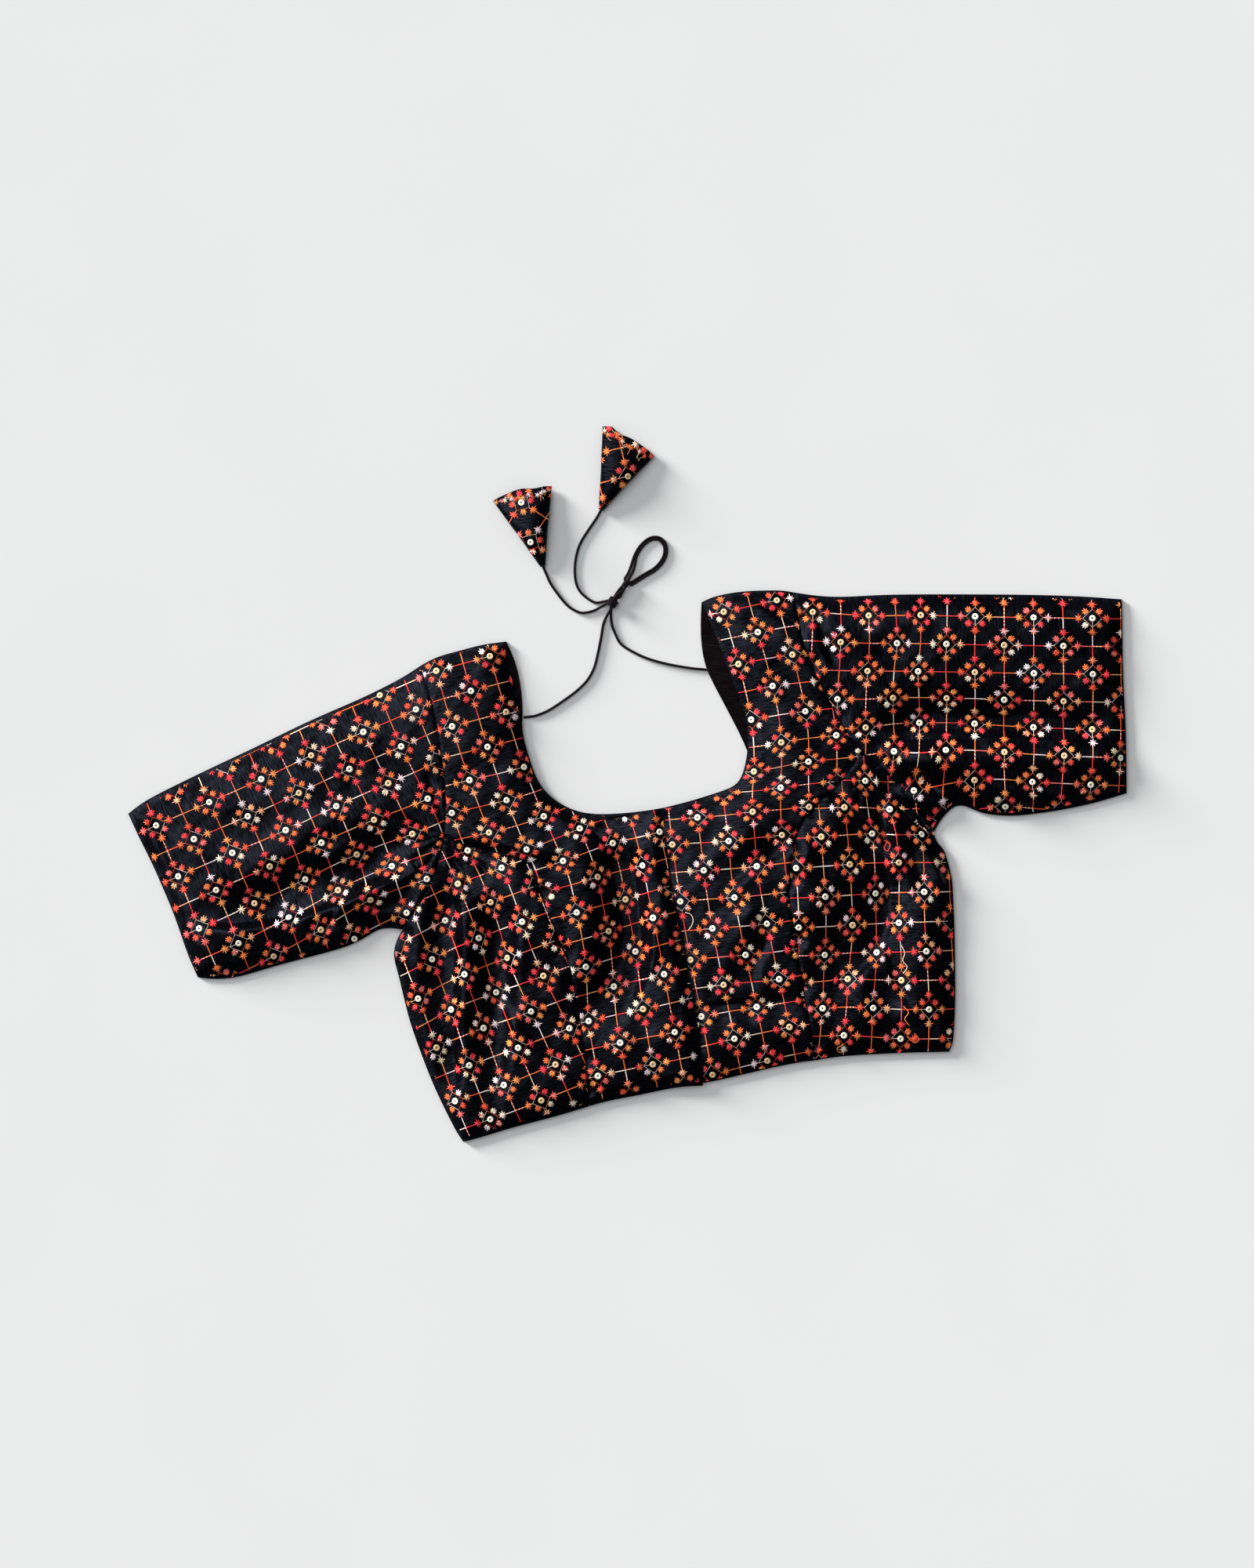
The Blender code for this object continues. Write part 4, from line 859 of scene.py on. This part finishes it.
sequinTones = [(1.0, 0.98, 0.90), (1.0, 0.98, 0.91), (1.0, 0.96, 0.86), (0.90, 0.65, 0.41)]
stitched = {}
rings = {}
bareEdge = {"edge": 0.0011, "hem": 0.0030, "hemBelow": -0.115}  # m, the plain edge beyond the stitches
looseThreads = {  # plan mm of thread ends and loops that stand off the pattern, with their colours
    "front_centre_left": [
        ([(45.6, -36.0), (50.0, -37.5), (52.0, -42.0), (50.5, -47.0), (48.5, -49.5)], "cream"),
        ([(171.0, -85.0), (166.0, -88.0), (160.0, -90.5), (154.0, -88.0), (148.0, -91.0)], "amber"),
    ],
    "front_side_left": [
        ([(216.5, -62.0), (219.0, -68.0), (217.5, -74.0), (221.0, -79.0), (218.0, -84.0)], "cream"),
        ([(218.0, -110.0), (222.0, -115.0), (219.0, -120.0), (222.5, -125.0)], "amber"),
        ([(221.0, -134.0), (227.0, -139.0), (230.5, -136.0), (227.0, -132.0)], "orange"),
        ([(171.0, -140.0), (166.0, -143.5), (168.0, -147.0), (173.0, -145.0)], "amber"),
        ([(203.0, 21.0), (207.5, 18.0), (206.0, 12.5), (203.0, 15.0), (206.0, 20.0)], "flame"),
    ],
    "front_centre_right": [
        ([(-91.0, 159.5), (-87.5, 155.0), (-84.5, 148.5)], "lilac"),
        ([(-98.0, 120.0), (-92.0, 121.5), (-88.0, 122.5)], "lilac"),
    ],
}
looseShape = {"step": 1.2, "over": 0.3, "size": (0.75, 0.75), "dim": 0.9}
blocks = {"front_centre_left": ["front_centre_right"]}  # what lies over a piece and hides its stitches

span = range(-17, 17)  # crossings each way, of which every second one has a motif
homes = pitch * np.array([(i, j) for i in span for j in span if (i + j) % 2 == 0], float)


# The map from pattern mm to plan metres
def mapFor(name):
    if name in toPlan:
        return lambda p: toPlan[name](p / pitch)
    start, across, along = (np.array(latkans[name][key]) for key in ("start", "across", "along"))
    return lambda p: (start + p[:, :1] / pitch * across + p[:, 1:] / pitch * along) * mm


mouths = {  # plan mm: the ends of a latkan's torn mouth and its point, with its count of thread tufts
    "latkan_right": {"ends": ((-105.5, 289.4), (-59.4, 300.8)), "point": (-67.0, 238.0), "tufts": 13},
    "latkan_left": {"ends": ((-19.8, 348.1), (20.6, 325.3)), "point": (-20.0, 283.0), "tufts": 15},
}
frayed = [(0.42, 0.40, 0.34), (0.62, 0.60, 0.52), (0.85, 0.25, 0.06), (0.9, 0.55, 0.3)]
tuft = {"inward": (1.2, 4.6), "rays": 6, "reach": (1.7, 2.9), "size": (0.85, 0.5), "shades": (0.8, 1.15),
        "ends": 4, "step": 1.5, "over": 1.25, "endSize": (0.4, 0.7), "curl": 0.9}


# Tufts and frayed ends along a latkan's mouth, in plan mm
def mouthStrokes(mouth):
    first, last, point = (np.array(p, float) for p in (*mouth["ends"], mouth["point"]))
    strokes = []
    for n in range(mouth["tufts"]):
        share = (n + rng.uniform(0.15, 0.85)) / mouth["tufts"]
        edge = first + (last - first) * share
        inward = (point - edge) / np.linalg.norm(point - edge)
        middle = edge + inward * rng.uniform(*tuft["inward"])
        tone = np.array(pickColour(warmNames))
        for turn in np.linspace(0, 2 * math.pi, tuft["rays"] + 1)[:-1] + rng.uniform(0, 1):
            tip = middle + np.array((math.cos(turn), math.sin(turn))) * rng.uniform(*tuft["reach"])
            strokes.append((middle, tip, *tuft["size"], "ray", tone * rng.uniform(*tuft["shades"])))
        turn = rng.uniform(0, 2 * math.pi)
        tone = np.array(rng.choice(frayed))
        for k in range(tuft["ends"]):
            step = np.array((math.cos(turn), math.sin(turn))) * tuft["step"]
            strokes.append((middle, middle + step * tuft["over"], *tuft["endSize"], "thread", tone))
            middle = middle + step
            turn += rng.uniform(-tuft["curl"], tuft["curl"])
    return strokes


stitchMargin = 0.02  # m round a piece, within which crossings may still reach it
for name in [*mainPanels, *latkans]:
    toPlace = mapFor(name)
    tree = surface[name]
    centres = toPlace(homes)
    corners = vertexRows(cloth[name].data, "co")[::7, :2]  # every seventh vertex is enough
    low, high = corners.min(axis=0) - stitchMargin, corners.max(axis=0) + stitchMargin
    shown = homes[((centres > low) & (centres < high)).all(axis=1)]
    tailWay = (0, -1) if name == "sleeve_left" else (-1, 0)
    strokes = [(home + start, home + end, *rest)
               for home in shown for start, end, *rest in strokesFor(tailWay)]
    points, rise, faces, colour = strokeMesh(strokes)
    plan = np.vstack([toPlace(part) for part in np.array_split(points, max(1, len(points) // 4000))])
    loose = []
    for route, tone in looseThreads.get(name, []):
        line = splinePoints(route, looseShape["step"])
        shade = np.array(palette[tone][0]) * looseShape["dim"]
        loose += [(a, b + (b - a) * looseShape["over"], *looseShape["size"], "thread", shade)
                  for a, b in zip(line[:-1], line[1:])]
    if name in mouths:
        loose += mouthStrokes(mouths[name])
    if loose:
        morePoints, moreRise, moreFaces, moreColour = strokeMesh(loose)
        faces = np.vstack([faces, moreFaces + len(plan)])
        plan = np.vstack([plan, morePoints * mm])
        rise = np.concatenate([rise, moreRise])
        colour = np.vstack([colour, moreColour])
    others = [surface[other] for other in blocks.get(name, [])]
    place, normal, good = onSurface(tree, plan, others)
    place += normal * rise[:, None] * mm
    if name in freeNear:
        edgeGap = np.array([freeNear[name].find((*p, 0))[2] for p in plan])
        hem = name in ("front_centre_right", "front_side_right")
        bare = np.where(hem & (plan[:, 1] < bareEdge["hemBelow"]), bareEdge["hem"], bareEdge["edge"])
        good &= edgeGap > bare
    faces = faces[good[faces].all(axis=1)]
    stitched[name] = coloredMesh("stitches_" + name, place, faces, colour, threadLook)
    ringPoints = []
    ringTones = []
    for home in shown:
        middle = toPlace(home[None])
        edge = toPlace(home[None] + ringSizes["clear"] * np.array([(math.cos(a), math.sin(a))
                                                                   for a in np.linspace(0, 2 * math.pi, 9)]))
        spots, ways, seated = onSurface(tree, np.vstack([middle, edge]), others)
        if not seated.all():
            continue
        up = Vector(ways.mean(axis=0)).normalized()
        turn = up.to_track_quat("Z", "Y").to_matrix()
        centre = spots[0] + np.array(up) * ringSizes["over"] * mm
        size = rng.uniform(0.96, 1.03)
        ringPoints.append(np.array([turn @ Vector(p * mm * size) for p in ringAt]) + centre)
        ringTones.append(np.tile(rng.choice(sequinTones), (len(ringAt), 1)))
    if ringPoints:
        ringPlace = np.vstack(ringPoints)
        firstVertex = (np.arange(len(ringPoints)) * len(ringAt))[:, None, None]
        allFaces = (ringFaces[None] + firstVertex).reshape(-1, 4)
        rings[name] = coloredMesh("sequins_" + name, ringPlace, allFaces, np.vstack(ringTones), sequinLook)
    print("sewn", name, len(faces), "stitch faces", len(ringPoints), "sequins")

innerSeam = {"width": 0.45, "height": 0.3, "over": -0.1, "lean": 0, "parts": 9}  # its stitches stand apart
seamColour = (0.020, 0.012, 0.014)
points, rise, faces, colour = strokeMesh(
    threadRow(np.array((59.276, 175.813)), np.array((70.476, 174.613)), innerSeam, (seamColour, seamColour)))
place, normal, good = onSurface(surface["back"], points * mm)
place += normal * rise[:, None] * mm
stitched["back"] = coloredMesh("stitches_back", place, faces[good[faces].all(axis=1)], colour, threadLook)

for name, piece in cloth.items():
    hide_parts(name)
for piece in (*cloth.values(), *stitched.values(), *rings.values(), knot, *cords.values()):
    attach(piece, "root")
